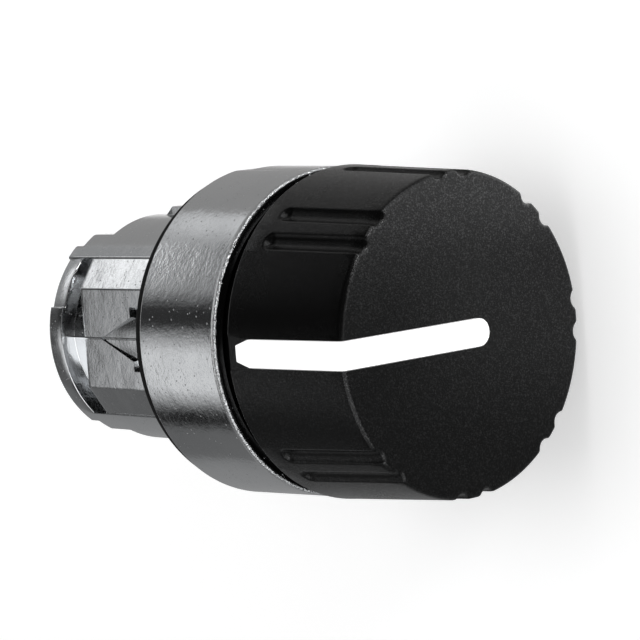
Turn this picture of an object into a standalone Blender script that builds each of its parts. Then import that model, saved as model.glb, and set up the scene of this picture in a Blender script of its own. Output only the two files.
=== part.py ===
"""Selector switch head for a 22 mm panel hole: a three-position knob with a light strip.

The head is modelled as it comes apart on a bench: a plated bezel and neck with their seals, the
knob with its L-shaped lens, the rotor that joins the knob to a helical cam, and the two spring-loaded
pushers that the cam works. The switching blocks that clip on behind aren't part of it.

World frame: the origin is on the turning axis at the panel's front face. +Y points back through the
panel, -Y towards the operator, +X to the operator's right and +Z up, which is 12 o'clock.
Build frame: every piece hangs on an empty whose local Z points at the operator and whose local Y
points to 12 o'clock, so a depth behind the panel is a negative Z here.
"""

import math

import bmesh
import bpy
from mathutils import Matrix, Vector

MM = 0.001

# Clearances
SEAT_GAP = 0.05 * MM  # between faces that rest on each other
RUNNING_GAP = 0.15 * MM  # between faces that turn or slide on each other
SKIRT_GAP = 0.3 * MM  # between the knob's skirt and the bezel
SLEEVE_GAP = 0.2 * MM  # round the rotor's sleeve and the light guide
LENS_GAP = 0.06 * MM  # round the lens in its pocket
MERGE = 0.001 * MM

# Facets round each kind of circle
LARGE_STEPS = 60
MEDIUM_STEPS = 44
SMALL_STEPS = 18
FILLET_STEPS = 2
COIL_STEPS = 10
LEAF_STEPS = 36

# Light guide, round which everything else is laid out
GUIDE_RADIUS = 2.7 * MM
GUIDE_PAST_SLEEVE = 3.0 * MM
GUIDE_ARM_WIDTH = 2.0 * MM
GUIDE_ARM_THICKNESS = 1.4 * MM
GUIDE_ARM_BEVEL = 0.7 * MM
GUIDE_LIMB_LENGTH = 9.0 * MM

# Rotor
SLEEVE_WALL = 1.3 * MM
SHAFT_HOLE = GUIDE_RADIUS + SLEEVE_GAP
SLEEVE_RADIUS = SHAFT_HOLE + SLEEVE_WALL
SLEEVE_FLAT_DEPTH = 0.5 * MM
SLEEVE_PAST_CAM = 0.3 * MM
HUB_WALL = 2.3 * MM
HUB_RADIUS = SHAFT_HOLE + HUB_WALL
HUB_SETBACK = 3.85 * MM  # from the knob's face to the hub's end
HUB_EDGE = 0.3 * MM
JOURNAL_EDGE = 0.25 * MM
WEB_HOLE = SLEEVE_RADIUS + SLEEVE_GAP
WASHER_THICKNESS = 0.6 * MM
SEAL_SECTION = 0.6 * MM
SEAL_SETBACK = 5.9 * MM  # from the collar's front to the middle of the shaft seal
RING_GROOVE_DEPTH = 0.55 * MM
RING_THICKNESS = 0.8 * MM
SNAP_RING_SETBACK = 1.5 * MM  # from the knob's rear shoulder
CIRCLIP_THICKNESS = 0.6 * MM
CIRCLIP_WIDTH = 1.4 * MM
RING_MOUTH = 2.4 * MM

# Helical cam, pushers and their guide plate
CAM_BORE = SLEEVE_RADIUS + SEAT_GAP
CAM_HUB_WALL = 0.35 * MM
RAMP_INNER_RADIUS = CAM_BORE + CAM_HUB_WALL
NOSE_RADIUS = 1.3 * MM
NOSE_LENGTH = 1.9 * MM
STEM_RADIUS = 0.95 * MM
STEM_PROUD = 0.4 * MM
WIRE_RADIUS = 0.2 * MM
COIL_CLEARANCE = 0.25 * MM
COIL_RADIUS = STEM_RADIUS + WIRE_RADIUS + COIL_CLEARANCE
COIL_TURNS = 5
COIL_LENGTH = 4.3 * MM
SPRING_SEAT_RADIUS = COIL_RADIUS + WIRE_RADIUS + SEAT_GAP
SPRING_SEAT_THICKNESS = 0.6 * MM
PUSHER_OFFSET = RAMP_INNER_RADIUS + NOSE_RADIUS
PUSHER_LIFT = 1.6 * MM  # at the end of the knob's turn
RAMP_HALF_ANGLE = math.radians(60.0)
RAMP_REST_HEIGHT = 2.3 * MM  # from the detent wheel to the ramp under a pusher at rest
PLATE_THICKNESS = 2.2 * MM
PLATE_WINDOW_WALL = 0.5 * MM
PLATE_WINDOW = GUIDE_RADIUS + PLATE_WINDOW_WALL
PLATE_RING_THICKNESS = 0.6 * MM
PLATE_RING_WIDTH = 0.8 * MM
PLATE_RING_BITE = 0.3 * MM

# Neck, which passes through the panel and is as wide as the pushers need
NECK_BORE = PUSHER_OFFSET + SPRING_SEAT_RADIUS + RUNNING_GAP
NECK_WALL = 3.05 * MM
NECK_RADIUS = NECK_BORE + NECK_WALL
NECK_EDGE = 0.3 * MM
TAIL_LENGTH = 0.92 * MM  # behind the guide plate's ring
FLAT_DEPTH = 1.35 * MM  # cut off at 12 and 6 o'clock
FLAT_HEIGHT = NECK_RADIUS - FLAT_DEPTH
FLAT_HALF_WIDTH = 4.68 * MM
FACET_EDGE_ANGLE = math.radians(43.85)
LATCH_RIM = 2.05 * MM  # from the latch groove to the neck's end
GROOVE_WIDTH = 1.8 * MM
GROOVE_DEPTH = 1.55 * MM
GROOVE_FLOOR = NECK_RADIUS - GROOVE_DEPTH
GROOVE_DRAFT = math.radians(2.0)
SIDE_STEP_LENGTH = 4.3 * MM  # the neck's last part, whose sides are flat
SIDE_FLAT_DEPTH = 1.4 * MM
TAIL_STEP_LENGTH = 1.3 * MM
TAIL_FLAT_DEPTH = 2.35 * MM
RIM_STEP = 0.3 * MM
RIM_STEP_START = 3.0 * MM
ARROW_TIP_SETBACK = 2.55 * MM  # from the latch groove
ARROW_HEAD_LENGTH = 4.7 * MM
ARROW_HALF_WIDTH = 2.05 * MM
ARROW_SHANK_HALF_WIDTH = 3.0 * MM
ARROW_DEPTH = 1.5 * MM
ARROW_FLOOR_RADIUS = NECK_RADIUS - ARROW_DEPTH
KEY_SETBACK = 3.05 * MM  # from the latch groove
KEY_WIDTH = 1.6 * MM
KEY_HEIGHT = 0.8 * MM
KEY_SLOPE = 1.0 * MM

# Flange and collar, which hold the bezel and stop the rotor
JOURNAL_RADIUS = NECK_BORE - RUNNING_GAP
COLLAR_WALL = 2.5 * MM
COLLAR_RADIUS = NECK_BORE + COLLAR_WALL
COLLAR_HEIGHT = 4.0 * MM
FLANGE_SEAL_THICKNESS = 0.6 * MM
FLANGE_THICKNESS = 1.3 * MM
WEB_DEPTH = 1.2 * MM
WEB_THICKNESS = 1.2 * MM

# Bezel and gasket
BEZEL_OVERHANG = 4.25 * MM  # past the neck
BEZEL_RADIUS = NECK_RADIUS + BEZEL_OVERHANG
BEZEL_TAPER = 0.25 * MM  # how much smaller the radius is at the front
BEZEL_WALL = 1.3 * MM
BEZEL_BORE = BEZEL_RADIUS - BEZEL_WALL
BEZEL_LENGTH = 10.15 * MM
BEZEL_FLOOR = 1.6 * MM
BEZEL_RIM_CHAMFER = 0.35 * MM
BEZEL_REAR_CHAMFER = 0.15 * MM
GATE_FLAT_DEPTH = 0.2 * MM
GATE_FLAT_LENGTH = 2.0 * MM
FLANGE_RADIUS = BEZEL_BORE - SLEEVE_GAP
GASKET_THICKNESS = 1.0 * MM
GASKET_SETBACK = 0.4 * MM  # inside the bezel's edge
GASKET_RADIUS = BEZEL_RADIUS - GASKET_SETBACK
GASKET_LIP = 0.35 * MM

# Knob
KNOB_INSET = 0.15 * MM  # inside the bezel's edge
KNOB_TAPER = 0.75 * MM
KNOB_REAR_RADIUS = BEZEL_RADIUS - KNOB_INSET
KNOB_FACE_RADIUS = KNOB_REAR_RADIUS - KNOB_TAPER
KNOB_LENGTH = 13.85 * MM
KNOB_TO_BEZEL = 1.8 * MM
KNOB_FACE_WALL = 1.65 * MM
KNOB_FACE_FILLET = 0.45 * MM
KNOB_REAR_FILLET = 0.25 * MM
SKIRT_WALL = 1.2 * MM
SKIRT_DEPTH = 4.2 * MM
SKIRT_RADIUS = BEZEL_BORE - SKIRT_GAP
SKIRT_BORE = SKIRT_RADIUS - SKIRT_WALL
BOSS_WALL = 1.3 * MM
BOSS_SETBACK = 0.5 * MM
BOSS_BORE = HUB_RADIUS + 2 * SEAT_GAP
BOSS_RADIUS = BOSS_BORE + BOSS_WALL
RIB_COUNT = 6
RIB_THICKNESS = 1.0 * MM
RIB_SETBACK = 5.0 * MM
DRIVE_KEY_WIDTH = 1.6 * MM
DRIVE_KEY_HEIGHT = 0.7 * MM
DRIVE_KEY_SETBACK = 1.7 * MM  # from the snap ring
GRIP_PLACES = 8  # one of them holds the marker strip instead of grooves
GRIP_HALF_SPACING = math.radians(5.8)
GRIP_WIDTH = 1.6 * MM
GRIP_DEPTH = 0.45 * MM
GRIP_SETBACK = 2.0 * MM

# Marker strip: an L-shaped lens let into the knob's side and face
LENS_WIDTH = 2.4 * MM
LENS_THICKNESS = 1.2 * MM
LENS_PAST_AXIS = 3.0 * MM
LENS_REAR_SETBACK = 1.1 * MM
LENS_FLOOR = 0.7 * MM  # the knob's wall behind the side limb
LENS_SEAT_HEIGHT = SKIRT_BORE + LENS_FLOOR
LENS_END_CHAMFER = 0.5 * MM
LENS_END_LENGTH = 1.5 * MM
LENS_RELIEF_MARGIN = 0.45 * MM  # how much wider than the lens on each side
LENS_RELIEF_LENGTH = 2.5 * MM
LENS_RELIEF_DEPTH = 0.25 * MM
LIGHT_SLIT_WIDTH = 1.4 * MM

# Travel stop: a lug on the rotor in a window of the collar, centred at 6 o'clock
TURN_LIMIT = math.radians(45.0)
LUG_HALF_ANGLE = math.radians(10.5)
LUG_PLAY = math.radians(0.75)
LUG_SETBACK = 0.4 * MM  # inside the collar's outer face
LUG_THICKNESS = 2.4 * MM
LUG_RADIUS = COLLAR_RADIUS - LUG_SETBACK

# Detent wheel and its two leaf springs
LEAF_THICKNESS = 0.25 * MM
LEAF_WIDTH = 1.7 * MM
LEAF_BUMP = 0.75 * MM
LEAF_BUMP_HALF_ANGLE = math.radians(9.0)
LEAF_FLARE = 0.45 * MM
LEAF_FLARE_ANGLE = math.radians(8.0)
LEAF_HALF_ANGLE = math.radians(33.0)
LEAF_RADIUS = NECK_BORE - LEAF_THICKNESS - RUNNING_GAP - 2 * SEAT_GAP
LEAF_POCKET_RADIUS = LEAF_RADIUS + LEAF_THICKNESS + LEAF_FLARE + RUNNING_GAP + SEAT_GAP
LEAF_POCKET_HALF_ANGLE = LEAF_HALF_ANGLE + math.radians(5.0)
WHEEL_GAP = 0.3 * MM  # between the wheel and the springs
WHEEL_RADIUS = LEAF_RADIUS - WHEEL_GAP
WHEEL_THICKNESS = 2.0 * MM
NOTCH_RADIUS = 1.0 * MM
NOTCH_DEPTH = 0.65 * MM

# Levels along the build frame's Z, worked out from the sizes above
BEZEL_REAR = GASKET_THICKNESS + SEAT_GAP
BEZEL_INSIDE = BEZEL_REAR + BEZEL_FLOOR
BEZEL_FRONT = BEZEL_REAR + BEZEL_LENGTH
FLANGE_REAR = BEZEL_INSIDE + FLANGE_SEAL_THICKNESS + 2 * SEAT_GAP
FLANGE_FRONT = FLANGE_REAR + FLANGE_THICKNESS
COLLAR_FRONT = FLANGE_FRONT + COLLAR_HEIGHT
KNOB_SHOULDER = BEZEL_FRONT + KNOB_TO_BEZEL
KNOB_FACE = KNOB_SHOULDER + KNOB_LENGTH
KNOB_CEILING = KNOB_FACE - KNOB_FACE_WALL
SKIRT_END = BEZEL_FRONT - SKIRT_DEPTH
BOSS_END = KNOB_SHOULDER + BOSS_SETBACK
HUB_FRONT = KNOB_FACE - HUB_SETBACK
WEB_REAR = -WEB_DEPTH - WEB_THICKNESS
JOURNAL_REAR = -WEB_DEPTH + WASHER_THICKNESS + 2 * RUNNING_GAP
SEAL_LEVEL = COLLAR_FRONT - SEAL_SETBACK
LUG_REAR = COLLAR_FRONT - LUG_THICKNESS
SNAP_RING_REAR = KNOB_SHOULDER + SNAP_RING_SETBACK
DRIVE_KEY_REAR = SNAP_RING_REAR + RING_THICKNESS + DRIVE_KEY_SETBACK
CIRCLIP_FRONT = WEB_REAR - RUNNING_GAP
WHEEL_FRONT = CIRCLIP_FRONT - CIRCLIP_THICKNESS - RUNNING_GAP
WHEEL_REAR = WHEEL_FRONT - WHEEL_THICKNESS
RAMP_REST = WHEEL_REAR - RAMP_REST_HEIGHT
LIFT_PER_RADIAN = PUSHER_LIFT / TURN_LIMIT
RAMP_SLOPE = LIFT_PER_RADIAN / PUSHER_OFFSET
SLEEVE_END = RAMP_REST - RAMP_HALF_ANGLE * LIFT_PER_RADIAN - SLEEVE_PAST_CAM
GUIDE_REAR = SLEEVE_END - GUIDE_PAST_SLEEVE
NOSE_TIP = RAMP_REST - RUNNING_GAP - NOSE_RADIUS * (math.hypot(1, RAMP_SLOPE) - 1)
SPRING_SEAT_FRONT = NOSE_TIP - NOSE_LENGTH
SPRING_SEAT_REAR = SPRING_SEAT_FRONT - SPRING_SEAT_THICKNESS
COIL_FRONT = SPRING_SEAT_REAR - SEAT_GAP
PLATE_FRONT = COIL_FRONT - COIL_LENGTH - SEAT_GAP
PLATE_REAR = PLATE_FRONT - PLATE_THICKNESS
PLATE_RING_FRONT = PLATE_REAR - SEAT_GAP
PLATE_RING_REAR = PLATE_RING_FRONT - PLATE_RING_THICKNESS
NECK_END = PLATE_RING_REAR - TAIL_LENGTH
STEM_END = NECK_END - STEM_PROUD
GROOVE_REAR = NECK_END + LATCH_RIM
GROOVE_FRONT = GROOVE_REAR + GROOVE_WIDTH
ARROW_TIP = GROOVE_FRONT + ARROW_TIP_SETBACK
ARROW_BASE = ARROW_TIP + ARROW_HEAD_LENGTH
KEY_END = GROOVE_FRONT + KEY_SETBACK

TWELVE_O_CLOCK = math.pi / 2
SIX_O_CLOCK = -math.pi / 2
THREE_O_CLOCK = 0.0

FINISHES = {
    "satin_chrome": ((0.72, 0.73, 0.74, 1.0), 0.18, 1.0),
    "black_rubber": ((0.012, 0.012, 0.013, 1.0), 0.75, 0.0),
    "black_polyamide": ((0.016, 0.016, 0.018, 1.0), 0.55, 0.0),
    "white_lens": ((0.87, 0.87, 0.86, 1.0), 0.35, 0.0),
    "clear_guide": ((0.82, 0.85, 0.86, 1.0), 0.08, 0.0),
    "grey_acetal": ((0.32, 0.33, 0.34, 1.0), 0.45, 0.0),
    "spring_steel": ((0.55, 0.56, 0.58, 1.0), 0.30, 1.0),
    "bronze_washer": ((0.58, 0.42, 0.24, 1.0), 0.35, 1.0),
}


def clear_scene():
    for item in list(bpy.data.objects):
        bpy.data.objects.remove(item)


def new_collection(name):
    made = bpy.data.collections.new(name)
    bpy.context.scene.collection.children.link(made)
    return made


def new_material(piece, finish):
    """A material of the piece's own, in one of the named finishes."""
    colour, roughness, metallic = FINISHES[finish]
    material = bpy.data.materials.new(f"{piece}_{finish}")
    material.use_nodes = True
    shader = material.node_tree.nodes["Principled BSDF"]
    shader.inputs["Base Color"].default_value = colour
    shader.inputs["Roughness"].default_value = roughness
    shader.inputs["Metallic"].default_value = metallic
    material.diffuse_color = colour
    return material


def new_axis(name, parent=None, offset_x=0.0):
    """An empty on a joint's axis, with local Z towards the operator."""
    axis = bpy.data.objects.new(name, None)
    PART.objects.link(axis)
    axis.parent = parent
    axis.location.x = offset_x
    if parent is None:
        axis.rotation_euler.x = math.pi / 2
    return axis


def add_piece(name, mesh, axis, finish):
    piece = bpy.data.objects.new(name, mesh)
    piece.data.materials.append(new_material(name, finish))
    PART.objects.link(piece)
    piece.parent = axis
    return piece


def add_helper(name, mesh, axis):
    """A cutter, or a lump that a piece is joined with. It isn't rendered."""
    helper = bpy.data.objects.new(name, mesh)
    HELPERS.objects.link(helper)
    helper.parent = axis
    helper.hide_render = True
    helper.display_type = "WIRE"
    return helper


def combine(piece, helper, operation="DIFFERENCE"):
    modifier = piece.modifiers.new(helper.name, "BOOLEAN")
    modifier.operation = operation
    modifier.solver = "EXACT"
    modifier.object = helper
    return piece


def combine_all(piece, collection, operation="DIFFERENCE"):
    modifier = piece.modifiers.new(collection.name, "BOOLEAN")
    modifier.operation = operation
    modifier.solver = "EXACT"
    modifier.operand_type = "COLLECTION"
    modifier.collection = collection
    return piece


def finish_mesh(name, bm):
    bmesh.ops.recalc_face_normals(bm, faces=bm.faces)
    mesh = bpy.data.meshes.new(name)
    bm.to_mesh(mesh)
    bm.free()
    mesh.shade_smooth()
    mesh.set_sharp_from_angle(angle=math.radians(35))
    return mesh


def profile_mesh(name, profile):
    """Edges through (radius, level) points, closed unless both ends lie on the axis."""
    bm = bmesh.new()
    points = [bm.verts.new((radius, 0.0, level)) for radius, level in profile]
    for first, second in zip(points, points[1:]):
        bm.edges.new((first, second))
    if profile[0][0] > 0 or profile[-1][0] > 0:
        bm.edges.new((points[-1], points[0]))
    mesh = bpy.data.meshes.new(name)
    bm.to_mesh(mesh)
    bm.free()
    return mesh


def turn(item, steps):
    """Spins an object's profile about its local Z."""
    screw = item.modifiers.new("turned", "SCREW")
    screw.axis = "Z"
    screw.angle = 2 * math.pi
    screw.steps = steps
    screw.render_steps = steps
    screw.use_merge_vertices = True
    screw.merge_threshold = MERGE
    screw.use_smooth_shade = True
    return item


def turned_piece(name, profile, axis, finish, steps=LARGE_STEPS):
    return turn(add_piece(name, profile_mesh(name, profile), axis, finish), steps)


def turned_helper(name, profile, axis, steps=LARGE_STEPS):
    return turn(add_helper(name, profile_mesh(name, profile), axis), steps)


def tube_profile(outer, inner, front, rear):
    return [(outer, front), (outer, rear), (inner, rear), (inner, front)]


def rod_profile(radius, front, rear):
    return [(0.0, front), (radius, front), (radius, rear), (0.0, rear)]


def arc(centre, radius, start, end, steps):
    """Points on an arc, with angles in degrees."""
    points = []
    for step in range(steps + 1):
        angle = math.radians(start + (end - start) * step / steps)
        points.append(
            (centre[0] + radius * math.cos(angle), centre[1] + radius * math.sin(angle))
        )
    return points


def box_mesh(name, low, high):
    middle = [(a + b) / 2 for a, b in zip(low, high)]
    size = [b - a for a, b in zip(low, high)]
    bm = bmesh.new()
    matrix = Matrix.Translation(middle) @ Matrix.Diagonal((*size, 1.0))
    bmesh.ops.create_cube(bm, size=1.0, matrix=matrix)
    return finish_mesh(name, bm)


def box_helper(name, low, high, axis):
    return add_helper(name, box_mesh(name, low, high), axis)


def prism_mesh(name, outline, low, high):
    """A flat outline in X and Y, extruded along Z between two levels."""
    curve = bpy.data.curves.new(name, "CURVE")
    curve.dimensions = "2D"
    curve.fill_mode = "BOTH"
    curve.extrude = (high - low) / 2
    spline = curve.splines.new("POLY")
    spline.points.add(len(outline) - 1)
    for point, (x, y) in zip(spline.points, outline):
        point.co = (x, y, 0.0, 1.0)
    spline.use_cyclic_u = True
    guide = bpy.data.objects.new(name, curve)
    HELPERS.objects.link(guide)
    graph = bpy.context.evaluated_depsgraph_get()
    mesh = bpy.data.meshes.new_from_object(guide.evaluated_get(graph))
    bpy.data.objects.remove(guide)
    bpy.data.curves.remove(curve)
    bm = bmesh.new()
    bm.from_mesh(mesh)
    bpy.data.meshes.remove(mesh)
    bmesh.ops.remove_doubles(bm, verts=bm.verts, dist=MERGE)
    bmesh.ops.translate(bm, verts=bm.verts, vec=(0.0, 0.0, (high + low) / 2))
    return finish_mesh(name, bm)


def prism_helper(name, outline, low, high, axis):
    return add_helper(name, prism_mesh(name, outline, low, high), axis)


def sector(inner, outer, centre, half_angle, steps=12):
    """The outline of a piece of a ring, as (x, y) points."""
    start = math.degrees(centre - half_angle)
    end = math.degrees(centre + half_angle)
    outer_arc = arc((0.0, 0.0), outer, start, end, steps)
    inner_arc = arc((0.0, 0.0), inner, end, start, steps)
    return outer_arc + inner_arc


def open_ring(name, outer, inner, front, rear, axis, mouth_angle, finish):
    """A flat retaining ring with a mouth, cut open on one side."""
    ring = turned_piece(name, tube_profile(outer, inner, front, rear), axis, finish, MEDIUM_STEPS)
    margin = RING_THICKNESS
    mouth = box_helper(
        f"{name}_mouth",
        (inner - margin, -RING_MOUTH / 2, rear - margin),
        (outer + margin, RING_MOUTH / 2, front + margin),
        axis,
    )
    mouth.rotation_euler.z = mouth_angle
    return combine(ring, mouth)


def make_gasket(axis):
    """The flat gasket between bezel and panel, with a low lip at its outer edge."""
    inner = NECK_RADIUS + RUNNING_GAP
    profile = [
        (GASKET_RADIUS - GASKET_LIP, GASKET_THICKNESS),
        (GASKET_RADIUS, GASKET_THICKNESS - GASKET_LIP),
        (GASKET_RADIUS, 0.0),
        (inner, 0.0),
        (inner, GASKET_THICKNESS),
    ]
    return turned_piece("panel_gasket", profile, axis, "black_rubber")


def make_bezel(axis):
    """The plated ring round the knob, with a floor that the neck's flange holds to the panel."""
    rim_inside = BEZEL_BORE + BEZEL_RIM_CHAMFER / 2
    front_radius = BEZEL_RADIUS - BEZEL_TAPER
    profile = [
        (rim_inside, BEZEL_FRONT),
        (front_radius - BEZEL_RIM_CHAMFER, BEZEL_FRONT),
        (front_radius, BEZEL_FRONT - BEZEL_RIM_CHAMFER),
        (BEZEL_RADIUS, BEZEL_REAR + BEZEL_REAR_CHAMFER),
        (BEZEL_RADIUS - BEZEL_REAR_CHAMFER, BEZEL_REAR),
        (NECK_RADIUS + RUNNING_GAP, BEZEL_REAR),
        (NECK_RADIUS + RUNNING_GAP, BEZEL_INSIDE),
        (BEZEL_BORE, BEZEL_INSIDE),
        (BEZEL_BORE, BEZEL_FRONT - BEZEL_RIM_CHAMFER),
    ]
    bezel = turned_piece("bezel", profile, axis, "satin_chrome")
    gate_flat = box_helper(
        "bezel_gate_flat",
        (BEZEL_RADIUS - GATE_FLAT_DEPTH, -BEZEL_BORE, BEZEL_REAR - SEAT_GAP),
        (BEZEL_RADIUS + GATE_FLAT_DEPTH, BEZEL_BORE, BEZEL_REAR + GATE_FLAT_LENGTH),
        axis,
    )
    return combine(bezel, gate_flat)


def make_flange_seal(axis):
    """The thin seal between the bezel's floor and the neck's flange."""
    rear = BEZEL_INSIDE + SEAT_GAP
    profile = tube_profile(
        FLANGE_RADIUS - RUNNING_GAP,
        NECK_RADIUS + RUNNING_GAP,
        rear + FLANGE_SEAL_THICKNESS,
        rear,
    )
    return turned_piece("flange_seal", profile, axis, "black_rubber")


def facet_outline():
    """What the flat and its two facets take off the round neck, drawn at 12 o'clock."""
    edge_x = NECK_RADIUS * math.sin(FACET_EDGE_ANGLE)
    edge_y = NECK_RADIUS * math.cos(FACET_EDGE_ANGLE)
    outside = 1.3 * NECK_RADIUS
    half = [(FLAT_HALF_WIDTH, FLAT_HEIGHT), (edge_x, edge_y), (edge_x + MM, edge_y), (edge_x + MM, outside)]
    return half + [(-x, y) for x, y in reversed(half)]


def groove_outline():
    """The latch groove's section: a round floor with a low ridge in the middle, and a wall at each end."""
    outside = 1.3 * NECK_RADIUS
    centre = (-GROOVE_FLOOR * math.sin(GROOVE_DRAFT), GROOVE_FLOOR * (1 - math.cos(GROOVE_DRAFT)))
    start = math.degrees(TWELVE_O_CLOCK - GROOVE_DRAFT)
    end = math.degrees(TWELVE_O_CLOCK - FACET_EDGE_ANGLE)
    half = arc(centre, GROOVE_FLOOR, start, end, 8)
    half.append((outside * math.sin(FACET_EDGE_ANGLE), outside * math.cos(FACET_EDGE_ANGLE)))
    return half + [(0.0, outside)] + [(-x, y) for x, y in reversed(half[1:])]


def arrow_outline():
    """An arrow that points away from the bezel, as (x, level) points."""
    half = [
        (ARROW_SHANK_HALF_WIDTH, SEAT_GAP),
        (ARROW_SHANK_HALF_WIDTH, ARROW_BASE),
        (ARROW_HALF_WIDTH, ARROW_BASE),
    ]
    return half + [(0.0, ARROW_TIP)] + [(-x, level) for x, level in reversed(half)]


def cut_latch_side(neck, side, axis):
    """Cuts the flats, arrow and latch groove at 12 o'clock, or turned round to 6 o'clock."""
    turn_by = 0.0 if side == "upper" else math.pi
    facets = prism_helper(f"facets_{side}", facet_outline(), GROOVE_FRONT - SEAT_GAP, 0.0, axis)
    groove = prism_helper(
        f"latch_groove_{side}", groove_outline(), GROOVE_REAR, GROOVE_FRONT, axis
    )
    arrow = upright_prism(f"arrow_{side}", arrow_outline(), NECK_BORE, NECK_RADIUS, axis)
    floor = turned_helper(
        f"arrow_floor_{side}", rod_profile(ARROW_FLOOR_RADIUS, GASKET_THICKNESS, NECK_END), axis
    )
    combine(arrow, floor)
    for helper in (facets, groove, arrow):
        helper.rotation_euler.z = turn_by
        combine(neck, helper)


def make_neck(axis):
    """The plated body: flange and collar inside the bezel, and the neck that goes through the panel."""
    plate_ring_groove = NECK_BORE + PLATE_RING_BITE
    profile = [
        (COLLAR_RADIUS - NECK_EDGE, COLLAR_FRONT),
        (COLLAR_RADIUS, COLLAR_FRONT - NECK_EDGE),
        (COLLAR_RADIUS, FLANGE_FRONT),
        (FLANGE_RADIUS, FLANGE_FRONT),
        (FLANGE_RADIUS, FLANGE_REAR),
        (NECK_RADIUS, FLANGE_REAR),
        (NECK_RADIUS, NECK_END + NECK_EDGE),
        (NECK_RADIUS - NECK_EDGE, NECK_END),
        (NECK_BORE + NECK_EDGE, NECK_END),
        (NECK_BORE, NECK_END + NECK_EDGE),
        (NECK_BORE, PLATE_RING_REAR - SEAT_GAP),
        (plate_ring_groove, PLATE_RING_REAR - SEAT_GAP),
        (plate_ring_groove, PLATE_RING_FRONT + SEAT_GAP),
        (NECK_BORE, PLATE_RING_FRONT + SEAT_GAP),
        (NECK_BORE, WEB_REAR),
        (WEB_HOLE, WEB_REAR),
        (WEB_HOLE, -WEB_DEPTH),
        (NECK_BORE, -WEB_DEPTH),
        (NECK_BORE, COLLAR_FRONT),
    ]
    neck = turned_piece("neck_body", profile, axis, "satin_chrome", MEDIUM_STEPS)
    for side in ("upper", "lower"):
        cut_latch_side(neck, side, axis)
    cut_side_flats(neck, axis)
    cut_rim_step(neck, axis)
    cut_stop_window(neck, axis)
    cut_leaf_pockets(neck, axis)
    return combine(neck, make_panel_key(axis), "UNION")


def cut_side_flats(neck, axis):
    """Flattens the sides of the neck behind the round part, and once more at the tail."""
    outside = 1.3 * NECK_RADIUS
    for name, length, depth in (
        ("side", SIDE_STEP_LENGTH, SIDE_FLAT_DEPTH),
        ("tail", TAIL_STEP_LENGTH, TAIL_FLAT_DEPTH),
    ):
        flat = NECK_RADIUS - depth
        for sign, word in ((-1, "left"), (1, "right")):
            near, far = sorted((sign * flat, sign * outside))
            slab = box_helper(
                f"{name}_flat_{word}",
                (near, -outside, NECK_END - MM),
                (far, outside, NECK_END + length),
                axis,
            )
            combine(neck, slab)


def cut_rim_step(neck, axis):
    """Lowers the latch rim a little on one side of the arrow."""
    start = math.asin(RIM_STEP_START / NECK_RADIUS)
    half = (FACET_EDGE_ANGLE - start) / 2
    outline = sector(
        NECK_RADIUS - RIM_STEP, NECK_RADIUS + MM, TWELVE_O_CLOCK - start - half, half
    )
    low = prism_helper("rim_step", outline, NECK_END - MM, GROOVE_REAR + SEAT_GAP, axis)
    return combine(neck, low)


def cut_stop_window(neck, axis):
    """The window in the collar that limits the turn of the rotor's lug."""
    half = TURN_LIMIT + LUG_HALF_ANGLE + LUG_PLAY
    outline = sector(NECK_BORE - RUNNING_GAP, COLLAR_RADIUS + MM, SIX_O_CLOCK, half, 24)
    window = prism_helper(
        "stop_window", outline, LUG_REAR - RUNNING_GAP, COLLAR_FRONT + MM, axis
    )
    return combine(neck, window)


def cut_leaf_pockets(neck, axis):
    """Room in the bore behind the two detent springs."""
    middle = (WHEEL_FRONT + WHEEL_REAR) / 2
    half_width = LEAF_WIDTH / 2 + RUNNING_GAP
    for side, centre in (("upper", TWELVE_O_CLOCK), ("lower", SIX_O_CLOCK)):
        outline = sector(
            NECK_BORE - RUNNING_GAP, LEAF_POCKET_RADIUS, centre, LEAF_POCKET_HALF_ANGLE, 24
        )
        pocket = prism_helper(
            f"leaf_pocket_{side}", outline, middle - half_width, middle + half_width, axis
        )
        combine(neck, pocket)


def make_panel_key(axis):
    """The key at 3 o'clock that fits the notch of the panel hole, with a sloping rear end."""
    top = NECK_RADIUS + KEY_HEIGHT
    root = NECK_RADIUS - MM
    outline = [
        (root, -SEAT_GAP),
        (top, -SEAT_GAP),
        (top, KEY_END + KEY_SLOPE),
        (NECK_RADIUS, KEY_END),
        (root, KEY_END),
    ]
    mesh = prism_mesh("panel_key", outline, -KEY_WIDTH / 2, KEY_WIDTH / 2)
    mesh.transform(Matrix.Rotation(math.pi / 2, 4, "X"))
    return add_helper("panel_key", mesh, axis)


def knob_outer_profile():
    """The knob's outside, from the axis at its face to its rear shoulder."""
    taper = math.degrees(math.atan2(KNOB_REAR_RADIUS - KNOB_FACE_RADIUS, KNOB_LENGTH))
    face_centre = (KNOB_FACE_RADIUS - KNOB_FACE_FILLET, KNOB_FACE - KNOB_FACE_FILLET)
    rear_centre = (KNOB_REAR_RADIUS - KNOB_REAR_FILLET, KNOB_SHOULDER + KNOB_REAR_FILLET)
    return (
        [(0.0, KNOB_FACE)]
        + arc(face_centre, KNOB_FACE_FILLET, 90.0, taper, FILLET_STEPS)
        + arc(rear_centre, KNOB_REAR_FILLET, taper, -90.0, FILLET_STEPS)
    )


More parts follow.
